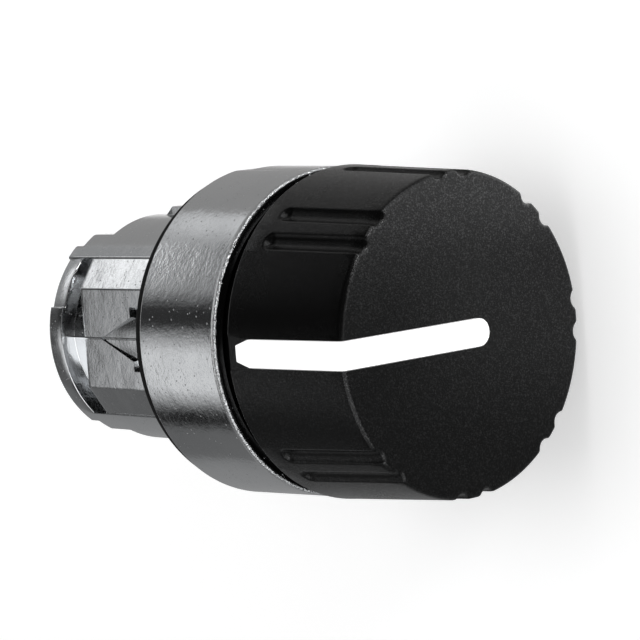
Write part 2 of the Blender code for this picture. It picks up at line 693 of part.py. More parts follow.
def knob_profile():
    boss_groove = BOSS_BORE + RING_GROOVE_DEPTH
    groove_rear = SNAP_RING_REAR - SEAT_GAP
    groove_front = SNAP_RING_REAR + RING_THICKNESS + SEAT_GAP
    return knob_outer_profile() + [
        (SKIRT_RADIUS, KNOB_SHOULDER),
        (SKIRT_RADIUS, SKIRT_END),
        (SKIRT_BORE, SKIRT_END),
        (SKIRT_BORE, KNOB_CEILING),
        (BOSS_RADIUS, KNOB_CEILING),
        (BOSS_RADIUS, BOSS_END),
        (BOSS_BORE, BOSS_END),
        (BOSS_BORE, groove_rear),
        (boss_groove, groove_rear),
        (boss_groove, groove_front),
        (BOSS_BORE, groove_front),
        (BOSS_BORE, KNOB_CEILING),
        (0.0, KNOB_CEILING),
    ]


def lens_face_outline(width, outside, past_axis):
    """The lens from above: straight sides with a round end past the axis, as (x, y) points."""
    radius = width / 2
    round_end = arc((0.0, radius - past_axis), radius, 180.0, 360.0, SMALL_STEPS // 2)
    return [(radius, outside), (-radius, outside)] + round_end


def lens_side_outline(width, rear, chamfer):
    """The side limb seen from outside: straight sides with its rear corners taken off."""
    half = width / 2
    front = KNOB_FACE + MM
    return [
        (half, front),
        (-half, front),
        (-half, rear + LENS_END_LENGTH),
        (-half + chamfer, rear),
        (half - chamfer, rear),
        (half, rear + LENS_END_LENGTH),
    ]


def upright_prism(name, outline, low, high, axis):
    """A prism whose outline lies in X and Z and which runs outwards along Y."""
    mesh = prism_mesh(name, outline, -high, -low)
    mesh.transform(Matrix.Rotation(math.pi / 2, 4, "X"))
    return add_helper(name, mesh, axis)


def cut_lens_pocket(knob, axis):
    """The L-shaped pocket for the lens, the slits that light it, and the relief at its end."""
    width = LENS_WIDTH + 2 * LENS_GAP
    outside = KNOB_REAR_RADIUS + MM
    face_floor = KNOB_FACE - LENS_THICKNESS - LENS_GAP
    rear = KNOB_SHOULDER + LENS_REAR_SETBACK - LENS_GAP
    face_slot = prism_helper(
        "face_pocket",
        lens_face_outline(width, outside, LENS_PAST_AXIS + LENS_GAP),
        face_floor,
        KNOB_FACE + MM,
        axis,
    )
    side_slot = upright_prism(
        "side_pocket",
        lens_side_outline(width, rear, LENS_END_CHAMFER),
        LENS_SEAT_HEIGHT - LENS_GAP,
        outside,
        axis,
    )
    relief_half = LENS_WIDTH / 2 + LENS_RELIEF_MARGIN
    relief = upright_prism(
        "side_relief",
        [
            (width / 2, KNOB_SHOULDER + LENS_RELIEF_LENGTH),
            (-width / 2, KNOB_SHOULDER + LENS_RELIEF_LENGTH),
            (-relief_half, KNOB_SHOULDER - MM),
            (relief_half, KNOB_SHOULDER - MM),
        ],
        KNOB_REAR_RADIUS - LENS_RELIEF_DEPTH,
        outside,
        axis,
    )
    slit_half = LIGHT_SLIT_WIDTH / 2
    face_slit = box_helper(
        "face_slit",
        (-slit_half, slit_half - LENS_PAST_AXIS, KNOB_CEILING - SEAT_GAP),
        (slit_half, SKIRT_BORE, face_floor + LENS_GAP),
        axis,
    )
    side_slit = box_helper(
        "side_slit",
        (-slit_half, SKIRT_BORE - SEAT_GAP - LENS_FLOOR, KNOB_CEILING - GUIDE_LIMB_LENGTH),
        (slit_half, LENS_SEAT_HEIGHT + LENS_GAP, KNOB_CEILING + SEAT_GAP),
        axis,
    )
    arm_half = GUIDE_ARM_WIDTH / 2 + RUNNING_GAP
    arm_gate = box_helper(
        "boss_gate",
        (-arm_half, 0.0, KNOB_CEILING - GUIDE_ARM_THICKNESS - 2 * RUNNING_GAP),
        (arm_half, BOSS_RADIUS + MM, KNOB_CEILING),
        axis,
    )
    for helper in (face_slot, side_slot, relief, face_slit, side_slit, arm_gate):
        combine(knob, helper)


def cut_grip_grooves(knob, axis):
    """Pairs of round-bottomed grooves that run out through the face, at every place but the strip's."""
    section = (GRIP_WIDTH**2 / 4 + GRIP_DEPTH**2) / (2 * GRIP_DEPTH)
    taper = math.atan2(KNOB_REAR_RADIUS - KNOB_FACE_RADIUS, KNOB_LENGTH)
    length = KNOB_LENGTH - GRIP_SETBACK + MM
    profile = [(0.0, length), (section, length)] + arc((0.0, 0.0), section, 0.0, -90.0, 3)
    profile[-1] = (0.0, -section)
    mesh = profile_mesh("grip_groove", profile)
    grooves = bpy.data.collections.new("grip_grooves")
    HELPERS.children.link(grooves)
    centre_radius = (
        KNOB_REAR_RADIUS - GRIP_SETBACK * math.tan(taper) + section - GRIP_DEPTH
    )
    for place in range(1, GRIP_PLACES):
        for side in (-1, 1):
            angle = 2 * math.pi * place / GRIP_PLACES + side * GRIP_HALF_SPACING
            cutter = turn(add_helper(f"grip_groove_{place}_{side}", mesh, axis), SMALL_STEPS // 2)
            HELPERS.objects.unlink(cutter)
            grooves.objects.link(cutter)
            around = Matrix.Rotation(TWELVE_O_CLOCK + angle, 4, "Z")
            start = KNOB_SHOULDER + GRIP_SETBACK + section * math.cos(taper)
            outwards = Matrix.Translation((centre_radius, 0.0, start))
            cutter.matrix_local = around @ outwards @ Matrix.Rotation(-taper, 4, "Y")
    return combine_all(knob, grooves)


def add_knob_ribs(knob, axis):
    """Ribs from the boss to the outer wall, clear of the light guide at 12 o'clock."""
    bite = RIB_THICKNESS / 4
    mesh = box_mesh(
        "knob_rib",
        (BOSS_RADIUS - bite, -RIB_THICKNESS / 2, KNOB_SHOULDER + RIB_SETBACK),
        (SKIRT_BORE + bite, RIB_THICKNESS / 2, KNOB_CEILING + bite),
    )
    ribs = bpy.data.collections.new("knob_ribs")
    HELPERS.children.link(ribs)
    for index in range(RIB_COUNT):
        rib = add_helper(f"knob_rib_{index + 1}", mesh, axis)
        HELPERS.objects.unlink(rib)
        ribs.objects.link(rib)
        rib.rotation_euler.z = 2 * math.pi * index / RIB_COUNT
    return combine_all(knob, ribs, "UNION")


def drive_key_box(name, clearance, axis):
    """The key at 6 o'clock that turns the rotor with the knob, or the keyway that it fits."""
    half = DRIVE_KEY_WIDTH / 2 + clearance
    return box_helper(
        name,
        (-half, -BOSS_BORE - DRIVE_KEY_HEIGHT / 2, DRIVE_KEY_REAR - clearance),
        (half, DRIVE_KEY_HEIGHT - BOSS_BORE + clearance, HUB_FRONT + clearance),
        axis,
    )


def make_knob(axis):
    knob = turned_piece("knob", knob_profile(), axis, "black_polyamide")
    add_knob_ribs(knob, axis)
    combine(knob, drive_key_box("drive_key", 0.0, axis), "UNION")
    cut_lens_pocket(knob, axis)
    return cut_grip_grooves(knob, axis)


def make_lens(axis):
    """The white strip: one limb on the face and one on the side, flush with the knob's outside."""
    rear = KNOB_SHOULDER + LENS_REAR_SETBACK
    outside = KNOB_REAR_RADIUS + MM
    face_limb = prism_mesh(
        "lens_strip",
        lens_face_outline(LENS_WIDTH, outside, LENS_PAST_AXIS),
        KNOB_FACE - LENS_THICKNESS,
        KNOB_FACE + MM,
    )
    lens = add_piece("lens_strip", face_limb, axis, "white_lens")
    side_limb = upright_prism(
        "lens_side_limb",
        lens_side_outline(LENS_WIDTH, rear, LENS_END_CHAMFER),
        LENS_SEAT_HEIGHT,
        outside,
        axis,
    )
    combine(lens, side_limb, "UNION")
    envelope = turned_helper("lens_envelope", knob_outer_profile() + [(0.0, KNOB_SHOULDER)], axis)
    return combine(lens, envelope, "INTERSECT")


def make_light_guide(axis):
    """A clear rod through the rotor, with an arm behind the face limb and a limb behind the side."""
    front = KNOB_CEILING - RUNNING_GAP
    guide = turned_piece(
        "light_guide",
        rod_profile(GUIDE_RADIUS, front, GUIDE_REAR),
        axis,
        "clear_guide",
        SMALL_STEPS,
    )
    half = GUIDE_ARM_WIDTH / 2
    reach = SKIRT_BORE - 2 * RUNNING_GAP
    arm_rear = front - GUIDE_ARM_THICKNESS
    outline = [
        (0.0, front),
        (reach - GUIDE_ARM_BEVEL, front),
        (reach, front - GUIDE_ARM_BEVEL),
        (reach, front - GUIDE_LIMB_LENGTH),
        (reach - GUIDE_ARM_THICKNESS, front - GUIDE_LIMB_LENGTH),
        (reach - GUIDE_ARM_THICKNESS, arm_rear),
        (0.0, arm_rear),
    ]
    mesh = prism_mesh("guide_arm", outline, -half, half)
    mesh.transform(Matrix.Rotation(math.pi / 2, 4, "Z") @ Matrix.Rotation(math.pi / 2, 4, "X"))
    return combine(guide, add_helper("guide_arm", mesh, axis), "UNION")


def make_rotor(axis):
    """The shaft from the knob to the cam: hub, sealed journal with its stop lug, and keyed sleeve."""
    hub_groove = HUB_RADIUS - RING_GROOVE_DEPTH
    snap_front = SNAP_RING_REAR + RING_THICKNESS + SEAT_GAP
    snap_rear = SNAP_RING_REAR - SEAT_GAP
    seal_floor = JOURNAL_RADIUS - 2 * SEAL_SECTION - SEAT_GAP
    seal_half = SEAL_SECTION + SEAT_GAP
    clip_groove = SLEEVE_RADIUS - RING_GROOVE_DEPTH
    clip_front = CIRCLIP_FRONT + SEAT_GAP
    clip_rear = CIRCLIP_FRONT - CIRCLIP_THICKNESS - SEAT_GAP
    profile = [
        (HUB_RADIUS - HUB_EDGE, HUB_FRONT),
        (HUB_RADIUS, HUB_FRONT - HUB_EDGE),
        (HUB_RADIUS, snap_front),
        (hub_groove, snap_front),
        (hub_groove, snap_rear),
        (HUB_RADIUS, snap_rear),
        (HUB_RADIUS, COLLAR_FRONT),
        (JOURNAL_RADIUS - JOURNAL_EDGE, COLLAR_FRONT),
        (JOURNAL_RADIUS, COLLAR_FRONT - JOURNAL_EDGE),
        (JOURNAL_RADIUS, SEAL_LEVEL + seal_half),
        (seal_floor, SEAL_LEVEL + seal_half),
        (seal_floor, SEAL_LEVEL - seal_half),
        (JOURNAL_RADIUS, SEAL_LEVEL - seal_half),
        (JOURNAL_RADIUS, JOURNAL_REAR),
        (SLEEVE_RADIUS, JOURNAL_REAR),
        (SLEEVE_RADIUS, clip_front),
        (clip_groove, clip_front),
        (clip_groove, clip_rear),
        (SLEEVE_RADIUS, clip_rear),
        (SLEEVE_RADIUS, SLEEVE_END),
        (SHAFT_HOLE, SLEEVE_END),
        (SHAFT_HOLE, HUB_FRONT),
    ]
    rotor = turned_piece("rotor_shaft", profile, axis, "grey_acetal", MEDIUM_STEPS)
    lug_outline = sector(HUB_RADIUS + MM, LUG_RADIUS, SIX_O_CLOCK, LUG_HALF_ANGLE)
    lug = prism_helper("stop_lug", lug_outline, LUG_REAR, COLLAR_FRONT - SEAT_GAP, axis)
    combine(rotor, lug, "UNION")
    combine(rotor, drive_key_box("drive_keyway", RUNNING_GAP, axis))
    for sign, word in ((-1, "lower"), (1, "upper")):
        flat_height = SLEEVE_RADIUS - SLEEVE_FLAT_DEPTH
        near, far = sorted((sign * flat_height, sign * (SLEEVE_RADIUS + MM)))
        flat = box_helper(
            f"sleeve_flat_{word}",
            (-SLEEVE_RADIUS, near, SLEEVE_END - MM),
            (SLEEVE_RADIUS, far, WHEEL_FRONT + SEAT_GAP),
            axis,
        )
        combine(rotor, flat)
    return rotor


def make_shaft_seal(axis):
    """The O-ring in the journal's groove."""
    centre = (JOURNAL_RADIUS - SEAL_SECTION, SEAL_LEVEL)
    profile = arc(centre, SEAL_SECTION, 90.0, -270.0, 8)[:-1]
    return turned_piece("shaft_seal", profile, axis, "black_rubber", MEDIUM_STEPS)


def make_thrust_washer(axis):
    """The washer that the journal turns on, in front of the neck's web."""
    rear = -WEB_DEPTH + RUNNING_GAP
    profile = tube_profile(
        JOURNAL_RADIUS - RUNNING_GAP, WEB_HOLE + RUNNING_GAP, rear + WASHER_THICKNESS, rear
    )
    return turned_piece("thrust_washer", profile, axis, "bronze_washer", MEDIUM_STEPS)


def make_circlip(axis):
    return open_ring(
        "rotor_circlip",
        SLEEVE_RADIUS + CIRCLIP_WIDTH,
        SLEEVE_RADIUS - RING_GROOVE_DEPTH + SEAT_GAP,
        CIRCLIP_FRONT,
        CIRCLIP_FRONT - CIRCLIP_THICKNESS,
        axis,
        SIX_O_CLOCK,
        "spring_steel",
    )


def make_snap_ring(axis):
    return open_ring(
        "knob_snap_ring",
        BOSS_BORE + RING_GROOVE_DEPTH - SEAT_GAP,
        HUB_RADIUS - RING_GROOVE_DEPTH + SEAT_GAP,
        SNAP_RING_REAR + RING_THICKNESS,
        SNAP_RING_REAR,
        axis,
        THREE_O_CLOCK,
        "spring_steel",
    )


def ramp_rise(x, y):
    """How far back the cam's face lies at (x, y), from its level under a pusher at rest.

    It rises evenly with the angle from 12 o'clock on both sides, so one ramp is left-handed and
    the other right-handed, and the knob lifts one pusher as it lowers the other."""
    from_top = math.atan2(abs(x), y)
    along = max(-RAMP_HALF_ANGLE, min(RAMP_HALF_ANGLE, from_top - math.pi / 2))
    return LIFT_PER_RADIAN * along


def ramp_mesh():
    """The cam's two helical ramps: a plain ring, whose rear face is then drawn out into them."""
    bm = bmesh.new()
    front = WHEEL_REAR + SEAT_GAP
    section = tube_profile(WHEEL_RADIUS, RAMP_INNER_RADIUS, front, RAMP_REST)
    corners = [bm.verts.new((radius, 0.0, level)) for radius, level in section]
    edges = [bm.edges.new((a, b)) for a, b in zip(corners, corners[1:] + corners[:1])]
    bmesh.ops.spin(
        bm,
        geom=corners + edges,
        axis=(0.0, 0.0, 1.0),
        cent=(0.0, 0.0, 0.0),
        steps=LARGE_STEPS,
        angle=2 * math.pi,
        use_merge=True,
    )
    for vertex in bm.verts:
        if vertex.co.z < front - SEAT_GAP:
            vertex.co.z -= ramp_rise(vertex.co.x, vertex.co.y)
    return finish_mesh("cam_ramps", bm)


def add_cam_keys(cam, rear, axis):
    """Flat-topped lands in the cam's bore, which sit on the sleeve's two flats."""
    land = SLEEVE_RADIUS - SLEEVE_FLAT_DEPTH + SEAT_GAP
    half = CAM_BORE * math.sin(math.acos(land / CAM_BORE)) + SEAT_GAP
    for sign, word in ((-1, "lower"), (1, "upper")):
        near, far = sorted((sign * land, sign * (CAM_BORE + CAM_HUB_WALL / 2)))
        low, high = (-half, near, rear + SEAT_GAP), (half, far, WHEEL_FRONT - SEAT_GAP)
        key = box_helper(f"cam_key_{word}", low, high, axis)
        combine(cam, key, "UNION")


def make_cam(axis):
    """Detent wheel, hub and helical ramps in one moulding, keyed to the rotor's sleeve."""
    hub_rear = RAMP_REST + PUSHER_LIFT / 2
    profile = [
        (WHEEL_RADIUS, WHEEL_FRONT),
        (WHEEL_RADIUS, WHEEL_REAR),
        (RAMP_INNER_RADIUS + SEAT_GAP, WHEEL_REAR),
        (RAMP_INNER_RADIUS + SEAT_GAP, hub_rear),
        (CAM_BORE, hub_rear),
        (CAM_BORE, WHEEL_FRONT),
    ]
    cam = turned_piece("cam_disc", profile, axis, "grey_acetal")
    combine(cam, add_helper("cam_ramps", ramp_mesh(), axis), "UNION")
    add_cam_keys(cam, hub_rear, axis)
    notch_centre = WHEEL_RADIUS + NOTCH_RADIUS - NOTCH_DEPTH
    notch_profile = rod_profile(NOTCH_RADIUS, WHEEL_FRONT + MM, WHEEL_REAR + SEAT_GAP / 2)
    notch_mesh = profile_mesh("detent_notch", notch_profile)
    notches = bpy.data.collections.new("detent_notches")
    HELPERS.children.link(notches)
    for opposite in (TWELVE_O_CLOCK, SIX_O_CLOCK):
        for position in (-1, 0, 1):
            name = f"detent_notch_{round(math.degrees(opposite))}_{position}"
            notch = turn(add_helper(name, notch_mesh, axis), SMALL_STEPS // 2)
            HELPERS.objects.unlink(notch)
            notches.objects.link(notch)
            angle = opposite + position * TURN_LIMIT
            notch.location = (notch_centre * math.cos(angle), notch_centre * math.sin(angle), 0.0)
    return combine_all(cam, notches)


def leaf_radius(angle):
    """The inside of a detent spring, which dips into the notch and flares out at its ends."""
    dip = 0.0
    if abs(angle) < LEAF_BUMP_HALF_ANGLE:
        dip = LEAF_BUMP * math.cos(math.pi / 2 * angle / LEAF_BUMP_HALF_ANGLE) ** 2
    past = max(0.0, abs(angle) - LEAF_HALF_ANGLE + LEAF_FLARE_ANGLE) / LEAF_FLARE_ANGLE
    return LEAF_RADIUS - dip + LEAF_FLARE * past**2


def leaf_mesh():
    """The spring's inner surface, drawn as a strip at 3 o'clock. Solidify gives it its gauge."""
    bm = bmesh.new()
    middle = (WHEEL_FRONT + WHEEL_REAR) / 2
    line = []
    for step in range(LEAF_STEPS + 1):
        angle = LEAF_HALF_ANGLE * (2 * step / LEAF_STEPS - 1)
        radius = leaf_radius(angle)
        line.append(
            bm.verts.new(
                (radius * math.cos(angle), radius * math.sin(angle), middle - LEAF_WIDTH / 2)
            )
        )
    edges = [bm.edges.new(pair) for pair in zip(line, line[1:])]
    raised = bmesh.ops.extrude_edge_only(bm, edges=edges)
    moved = [item for item in raised["geom"] if isinstance(item, bmesh.types.BMVert)]
    bmesh.ops.translate(bm, verts=moved, vec=(0.0, 0.0, LEAF_WIDTH))
    for face in bm.faces:
        face.normal_update()
        outwards = face.calc_center_median() * Vector((1.0, 1.0, 0.0))
        if face.normal.dot(outwards) < 0:
            face.normal_flip()
    mesh = bpy.data.meshes.new("detent_leaf")
    bm.to_mesh(mesh)
    bm.free()
    return mesh


def make_detent_spring(side, angle, axis):
    spring = add_piece(f"detent_spring_{side}", leaf_mesh(), axis, "spring_steel")
    solidify = spring.modifiers.new("gauge", "SOLIDIFY")
    solidify.thickness = LEAF_THICKNESS
    solidify.offset = 1.0
    spring.rotation_euler.z = angle
    return spring


def make_pusher(side, axis):
    """A stem with a round nose that rides on the cam, and a collar that the spring pushes on."""
    nose_centre = NOSE_TIP - NOSE_RADIUS
    profile = arc((0.0, nose_centre), NOSE_RADIUS, 90.0, 0.0, 6) + [
        (NOSE_RADIUS, SPRING_SEAT_FRONT),
        (SPRING_SEAT_RADIUS, SPRING_SEAT_FRONT),
        (SPRING_SEAT_RADIUS, SPRING_SEAT_REAR),
        (STEM_RADIUS, SPRING_SEAT_REAR),
        (STEM_RADIUS, STEM_END + SEAT_GAP),
        (STEM_RADIUS - SEAT_GAP, STEM_END),
        (0.0, STEM_END),
    ]
    profile[0] = (0.0, NOSE_TIP)
    return turned_piece(f"pusher_{side}", profile, axis, "grey_acetal", SMALL_STEPS)


def coil_level(share):
    """Height along the coil, from 0 to 1, with the first and last turns closed up."""
    closed = 2 * WIRE_RADIUS + SEAT_GAP
    end_share = 1.0 / COIL_TURNS
    total = COIL_LENGTH - 2 * WIRE_RADIUS
    slope = closed / end_share / total
    open_slope = (1.0 - 2 * closed / total) / (1.0 - 2 * end_share)
    if share < end_share:
        return slope * share
    if share > 1.0 - end_share:
        return 1.0 - slope * (1.0 - share)
    return closed / total + open_slope * (share - end_share)


def make_pusher_spring(side, axis):
    """The coil round the stem, from the pusher's collar to the guide plate."""
    name = f"pusher_spring_{side}"
    curve = bpy.data.curves.new(name, "CURVE")
    curve.dimensions = "3D"
    curve.bevel_depth = WIRE_RADIUS
    curve.bevel_resolution = 1
    curve.use_fill_caps = True
    curve.use_path = False
    count = COIL_TURNS * COIL_STEPS
    spline = curve.splines.new("POLY")
    spline.points.add(count)
    travel = COIL_LENGTH - 2 * WIRE_RADIUS
    for index, point in enumerate(spline.points):
        angle = 2 * math.pi * index / COIL_STEPS
        level = COIL_FRONT - WIRE_RADIUS - travel * coil_level(index / count)
        point.co = (COIL_RADIUS * math.cos(angle), COIL_RADIUS * math.sin(angle), level, 1.0)
    return add_piece(name, curve, axis, "spring_steel")


def make_guide_plate(axis):
    """The plate that guides both stems, with a window for the light guide's beam."""
    profile = tube_profile(NECK_BORE - RUNNING_GAP, PLATE_WINDOW, PLATE_FRONT, PLATE_REAR)
    plate = turned_piece("guide_plate", profile, axis, "black_polyamide", MEDIUM_STEPS)
    for sign, word in ((-1, "left"), (1, "right")):
        hole = turned_helper(
            f"stem_hole_{word}",
            rod_profile(STEM_RADIUS + RUNNING_GAP, PLATE_FRONT + MM, PLATE_REAR - MM),
            axis,
            SMALL_STEPS,
        )
        hole.location.x = sign * PUSHER_OFFSET
        combine(plate, hole)
    return plate


def make_plate_ring(axis):
    outer = NECK_BORE + PLATE_RING_BITE - SEAT_GAP
    return open_ring(
        "plate_retaining_ring",
        outer,
        outer - PLATE_RING_WIDTH,
        PLATE_RING_FRONT,
        PLATE_RING_REAR,
        axis,
        SIX_O_CLOCK,
        "spring_steel",
    )


def make_housing(axis):
    """Everything that stays with the panel."""
    make_gasket(axis)
    make_bezel(axis)
    make_flange_seal(axis)
    make_neck(axis)
    make_thrust_washer(axis)
    make_guide_plate(axis)
    make_plate_ring(axis)
    make_detent_spring("upper", TWELVE_O_CLOCK, axis)
    make_detent_spring("lower", SIX_O_CLOCK, axis)


def make_selector(axis):
    """Everything that turns with the knob."""
    make_knob(axis)
    make_lens(axis)
    make_light_guide(axis)
    make_rotor(axis)
    make_shaft_seal(axis)
    make_circlip(axis)
    make_snap_ring(axis)
    make_cam(axis)


def main():
    panel_axis = new_axis("panel_axis")
    make_housing(panel_axis)
    make_selector(new_axis("knob_axis", panel_axis))
    for side, sign in (("left", -1), ("right", 1)):
        stem_axis = new_axis(f"pusher_axis_{side}", panel_axis, sign * PUSHER_OFFSET)
        make_pusher(side, stem_axis)
        make_pusher_spring(side, stem_axis)


clear_scene()
PART = new_collection("selector_switch")
HELPERS = new_collection("cutters")
main()
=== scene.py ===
"""Looks of the selector switch head: smooth pieces, finishes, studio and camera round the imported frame.

Row frame in metres: Y is the turning axis and runs back through the panel from its front face at
y = 0, Z points to 12 o'clock and X to the operator's right. Sizes below are in millimetres, and a
place on a turned piece is (radius, y). Angles count from 12 o'clock towards 3 o'clock.
"""

import logging
import math
from dataclasses import dataclass
from enum import Enum
from functools import cached_property
from typing import Any, Callable, Dict, List, Optional, Sequence, Tuple, Union

import bmesh
import bpy
from mathutils import Matrix, Vector

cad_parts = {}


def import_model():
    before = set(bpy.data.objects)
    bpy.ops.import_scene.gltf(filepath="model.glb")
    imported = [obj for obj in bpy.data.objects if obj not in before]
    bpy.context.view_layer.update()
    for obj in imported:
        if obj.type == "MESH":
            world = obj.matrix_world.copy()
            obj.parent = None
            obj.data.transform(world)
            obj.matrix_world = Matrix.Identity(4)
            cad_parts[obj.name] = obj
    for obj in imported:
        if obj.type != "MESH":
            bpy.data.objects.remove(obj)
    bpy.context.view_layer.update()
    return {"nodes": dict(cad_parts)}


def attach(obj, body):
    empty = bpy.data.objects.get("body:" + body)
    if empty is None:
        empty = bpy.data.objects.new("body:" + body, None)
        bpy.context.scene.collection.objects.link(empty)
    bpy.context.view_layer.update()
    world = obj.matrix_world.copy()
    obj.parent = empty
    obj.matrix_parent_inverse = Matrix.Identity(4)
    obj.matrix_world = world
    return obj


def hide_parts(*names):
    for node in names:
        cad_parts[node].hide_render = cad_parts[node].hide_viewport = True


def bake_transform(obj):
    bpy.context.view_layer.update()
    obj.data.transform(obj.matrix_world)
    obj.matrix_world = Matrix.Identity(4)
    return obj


LOG = logging.getLogger("selector_switch")
MM = 0.001
# Points closer than MERGE are one, and no size is divided by less than LEAST_COSINE
MERGE = 1e-4
LEAST_COSINE = 0.05
# Edges sharper than this, in degrees, are the ones that a bevel takes
BEVEL_FROM = 28.0
# Values closer than this share of the finest spacing are one
TOO_CLOSE = 0.45

Point = Tuple[float, float]
Mark = Tuple[float, float, float]
Colour = Tuple[float, float, float, float]


def grey(level: float, blue: float = 0.0) -> Colour:
    """Returns a neutral colour of that level, with a little blue on top."""
    return (level, level + blue / 2, level + blue, 1.0)


# Node graphs


class Flow:
    """A value that runs through a material's nodes and takes part in arithmetic."""

    def __init__(self, graph: "Graph", socket: bpy.types.NodeSocket) -> None:
        """Wraps a socket of a graph."""
        self.graph = graph
        self.socket = socket

    def __add__(self, other: "Number") -> "Flow":
        """Returns the sum."""
        return self.graph.math("ADD", self, other)

    def __rsub__(self, other: "Number") -> "Flow":
        """Returns other minus this."""
        return self.graph.math("SUBTRACT", other, self)

    def __mul__(self, other: "Number") -> "Flow":
        """Returns the product."""
        return self.graph.math("MULTIPLY", self, other)

    __radd__ = __add__
    __rmul__ = __mul__

    def mask(self, low: float, high: float) -> "Flow":
        """Rises smoothly from 0 to 1.

        Args:
            low: The value where the mask is 0.
            high: The value where it is 1, which may be below low.

        Returns:
            The mask.
        """
        node = self.graph.node(
            "ShaderNodeMapRange",
            {"interpolation_type": "SMOOTHSTEP"},
            {"Value": self, "From Min": low, "From Max": high},
        )
        return Flow(self.graph, node.outputs["Result"])


Number = Union[Flow, float]


class Graph:
    """The node tree of a new material or world, built round its shader."""

    def __init__(self, name: str, world: bool = False) -> None:
        """Makes an empty material with a Principled shader, or a world with a Background.

        Args:
            name: Its name.
            world: Whether it is a world.
        """
        self.owner = (bpy.data.worlds if world else bpy.data.materials).new(name)
        self.owner.use_nodes = True
        self.tree = self.owner.node_tree
        self.shader = self.tree.nodes["Background" if world else "Principled BSDF"]

    @cached_property
    def place(self) -> Flow:
        """The object's own coordinates."""
        return Flow(self, self.node("ShaderNodeTexCoord").outputs["Object"])

    def node(
        self,
        kind: str,
        settings: Optional[Dict[str, Any]] = None,
        inputs: Optional[Dict[Union[str, int], Any]] = None,
    ) -> bpy.types.Node:
        """Adds a node.

        Args:
            kind: The node's type.
            settings: Its own settings, which are set first. A ramp takes "stops".
            inputs: What each socket gets, a number, a colour or a link.

        Returns:
            The node.
        """
        node = self.tree.nodes.new(kind)
        for key, value in (settings or {}).items():
            if key == "stops":
                for index, (place, colour) in enumerate(value):
                    ramp = node.color_ramp.elements
                    stop = ramp[index] if index < len(ramp) else ramp.new(place)
                    stop.position, stop.color = place, colour
            else:
                setattr(node, key, value)
        for key, value in (inputs or {}).items():
            self.feed(node.inputs[key], value)
        return node

    def feed(self, socket: bpy.types.NodeSocket, value: Any) -> None:
        """Sets what a socket gets.

        Args:
            socket: The socket.
            value: A flow, which is linked to it, or a plain value.
        """
        if isinstance(value, Flow):
            self.tree.links.new(value.socket, socket)
        else:
            socket.default_value = value

    def math(self, operation: str, first: Number, second: Number = 0.0) -> Flow:
        """Returns the result of a Math node on two numbers."""
        node = self.node("ShaderNodeMath", {"operation": operation}, {0: first, 1: second})
        return Flow(self, node.outputs[0])

    def blend(self, factor: Number, first: Any, second: Any) -> Flow:
        """Mixes two colours.

        Args:
            factor: 0 for the first colour and 1 for the second.
            first: A colour or a flow.
            second: A colour or a flow.

        Returns:
            The mixed colour.
        """
        settings = {"data_type": "RGBA", "clamp_factor": True}
        node = self.node("ShaderNodeMix", settings, {0: factor, 6: first, 7: second})
        return Flow(self, node.outputs[2])

    def stretched(self, scale: Sequence[float]) -> Flow:
        """Returns the object's coordinates with each axis scaled."""
        node = self.node("ShaderNodeMapping", None, {"Vector": self.place, "Scale": scale})
        return Flow(self, node.outputs["Vector"])

    def noise(
        self, size: float, detail: float = 2.0, rough: float = 0.5, along: Optional[Flow] = None
    ) -> Flow:
        """Adds a noise pattern.

        Args:
            size: The width of its blotches in millimetres.
            detail: How many finer layers it has.
            rough: How strong those layers are.
            along: Coordinates in place of the object's own.

        Returns:
            The noise, round 0.5.
        """
        inputs = {
            "Vector": along or self.place,
            "Scale": 1.0 / (size * MM),
            "Detail": detail,
            "Roughness": rough,
        }
        node = self.node("ShaderNodeTexNoise", None, inputs)
        return Flow(self, node.outputs["Fac"])

    def cells(self, size: float) -> Flow:
        """Returns the distance to the nearest point of a random scatter, in units of size."""
        inputs = {"Vector": self.place, "Scale": 1.0 / (size * MM)}
        return Flow(self, self.node("ShaderNodeTexVoronoi", None, inputs).outputs["Distance"])

    def axes(self) -> List[Flow]:
        """Returns the object's coordinates as three numbers."""
        parts = self.node("ShaderNodeSeparateXYZ", None, {0: self.place})
        return [Flow(self, socket) for socket in parts.outputs]

    def vector(self, *numbers: Number) -> Flow:
        """Returns up to three numbers as a vector."""
        node = self.node("ShaderNodeCombineXYZ", None, dict(enumerate(numbers)))
        return Flow(self, node.outputs[0])

    def across(self) -> Tuple[Flow, Flow]:
        """Measures each place from the turning axis.

        Returns:
            Its distance from the axis and its distance along it, in millimetres.
        """
        x, y, z = self.axes()
        length = self.node("ShaderNodeVectorMath", {"operation": "LENGTH"}, {0: self.vector(x, 0.0, z)})
        return Flow(self, length.outputs["Value"]) * (1 / MM), y * (1 / MM)

    def in_view(self) -> Flow:
        """Tells what is in view from what only lights the object.

        Returns:
            1 for rays from the camera or off and through the object, and 0 for the others.
        """
        path = self.node("ShaderNodeLightPath")
        kinds = ("Camera", "Glossy", "Transmission")
        rays = [Flow(self, path.outputs[f"Is {kind} Ray"]) for kind in kinds]
        return self.math("MAXIMUM", self.math("MAXIMUM", rays[0], rays[1]), rays[2])

    def bump(self, height: Flow, depth: float, under: Optional[Flow] = None) -> Flow:
        """Turns a height into a normal.

        Args:
            height: The height, from 0 to 1.
            depth: What a height of 1 stands for, in millimetres.
            under: A normal to build on.

        Returns:
            The normal.
        """
        inputs: Dict[Union[str, int], Any] = {"Height": height, "Distance": depth * MM}
        if under is not None:
            inputs["Normal"] = under
        return Flow(self, self.node("ShaderNodeBump", None, inputs).outputs["Normal"])

    def finish(self, **sockets: Any) -> bpy.types.ID:
        """Feeds the shader.

        Args:
            sockets: Values by socket name, with underscores for spaces.

        Returns:
            The finished material or world.
        """
        for key, value in sockets.items():
            self.feed(self.shader.inputs[key.replace("_", " ")], value)
        return self.owner


# Finishes


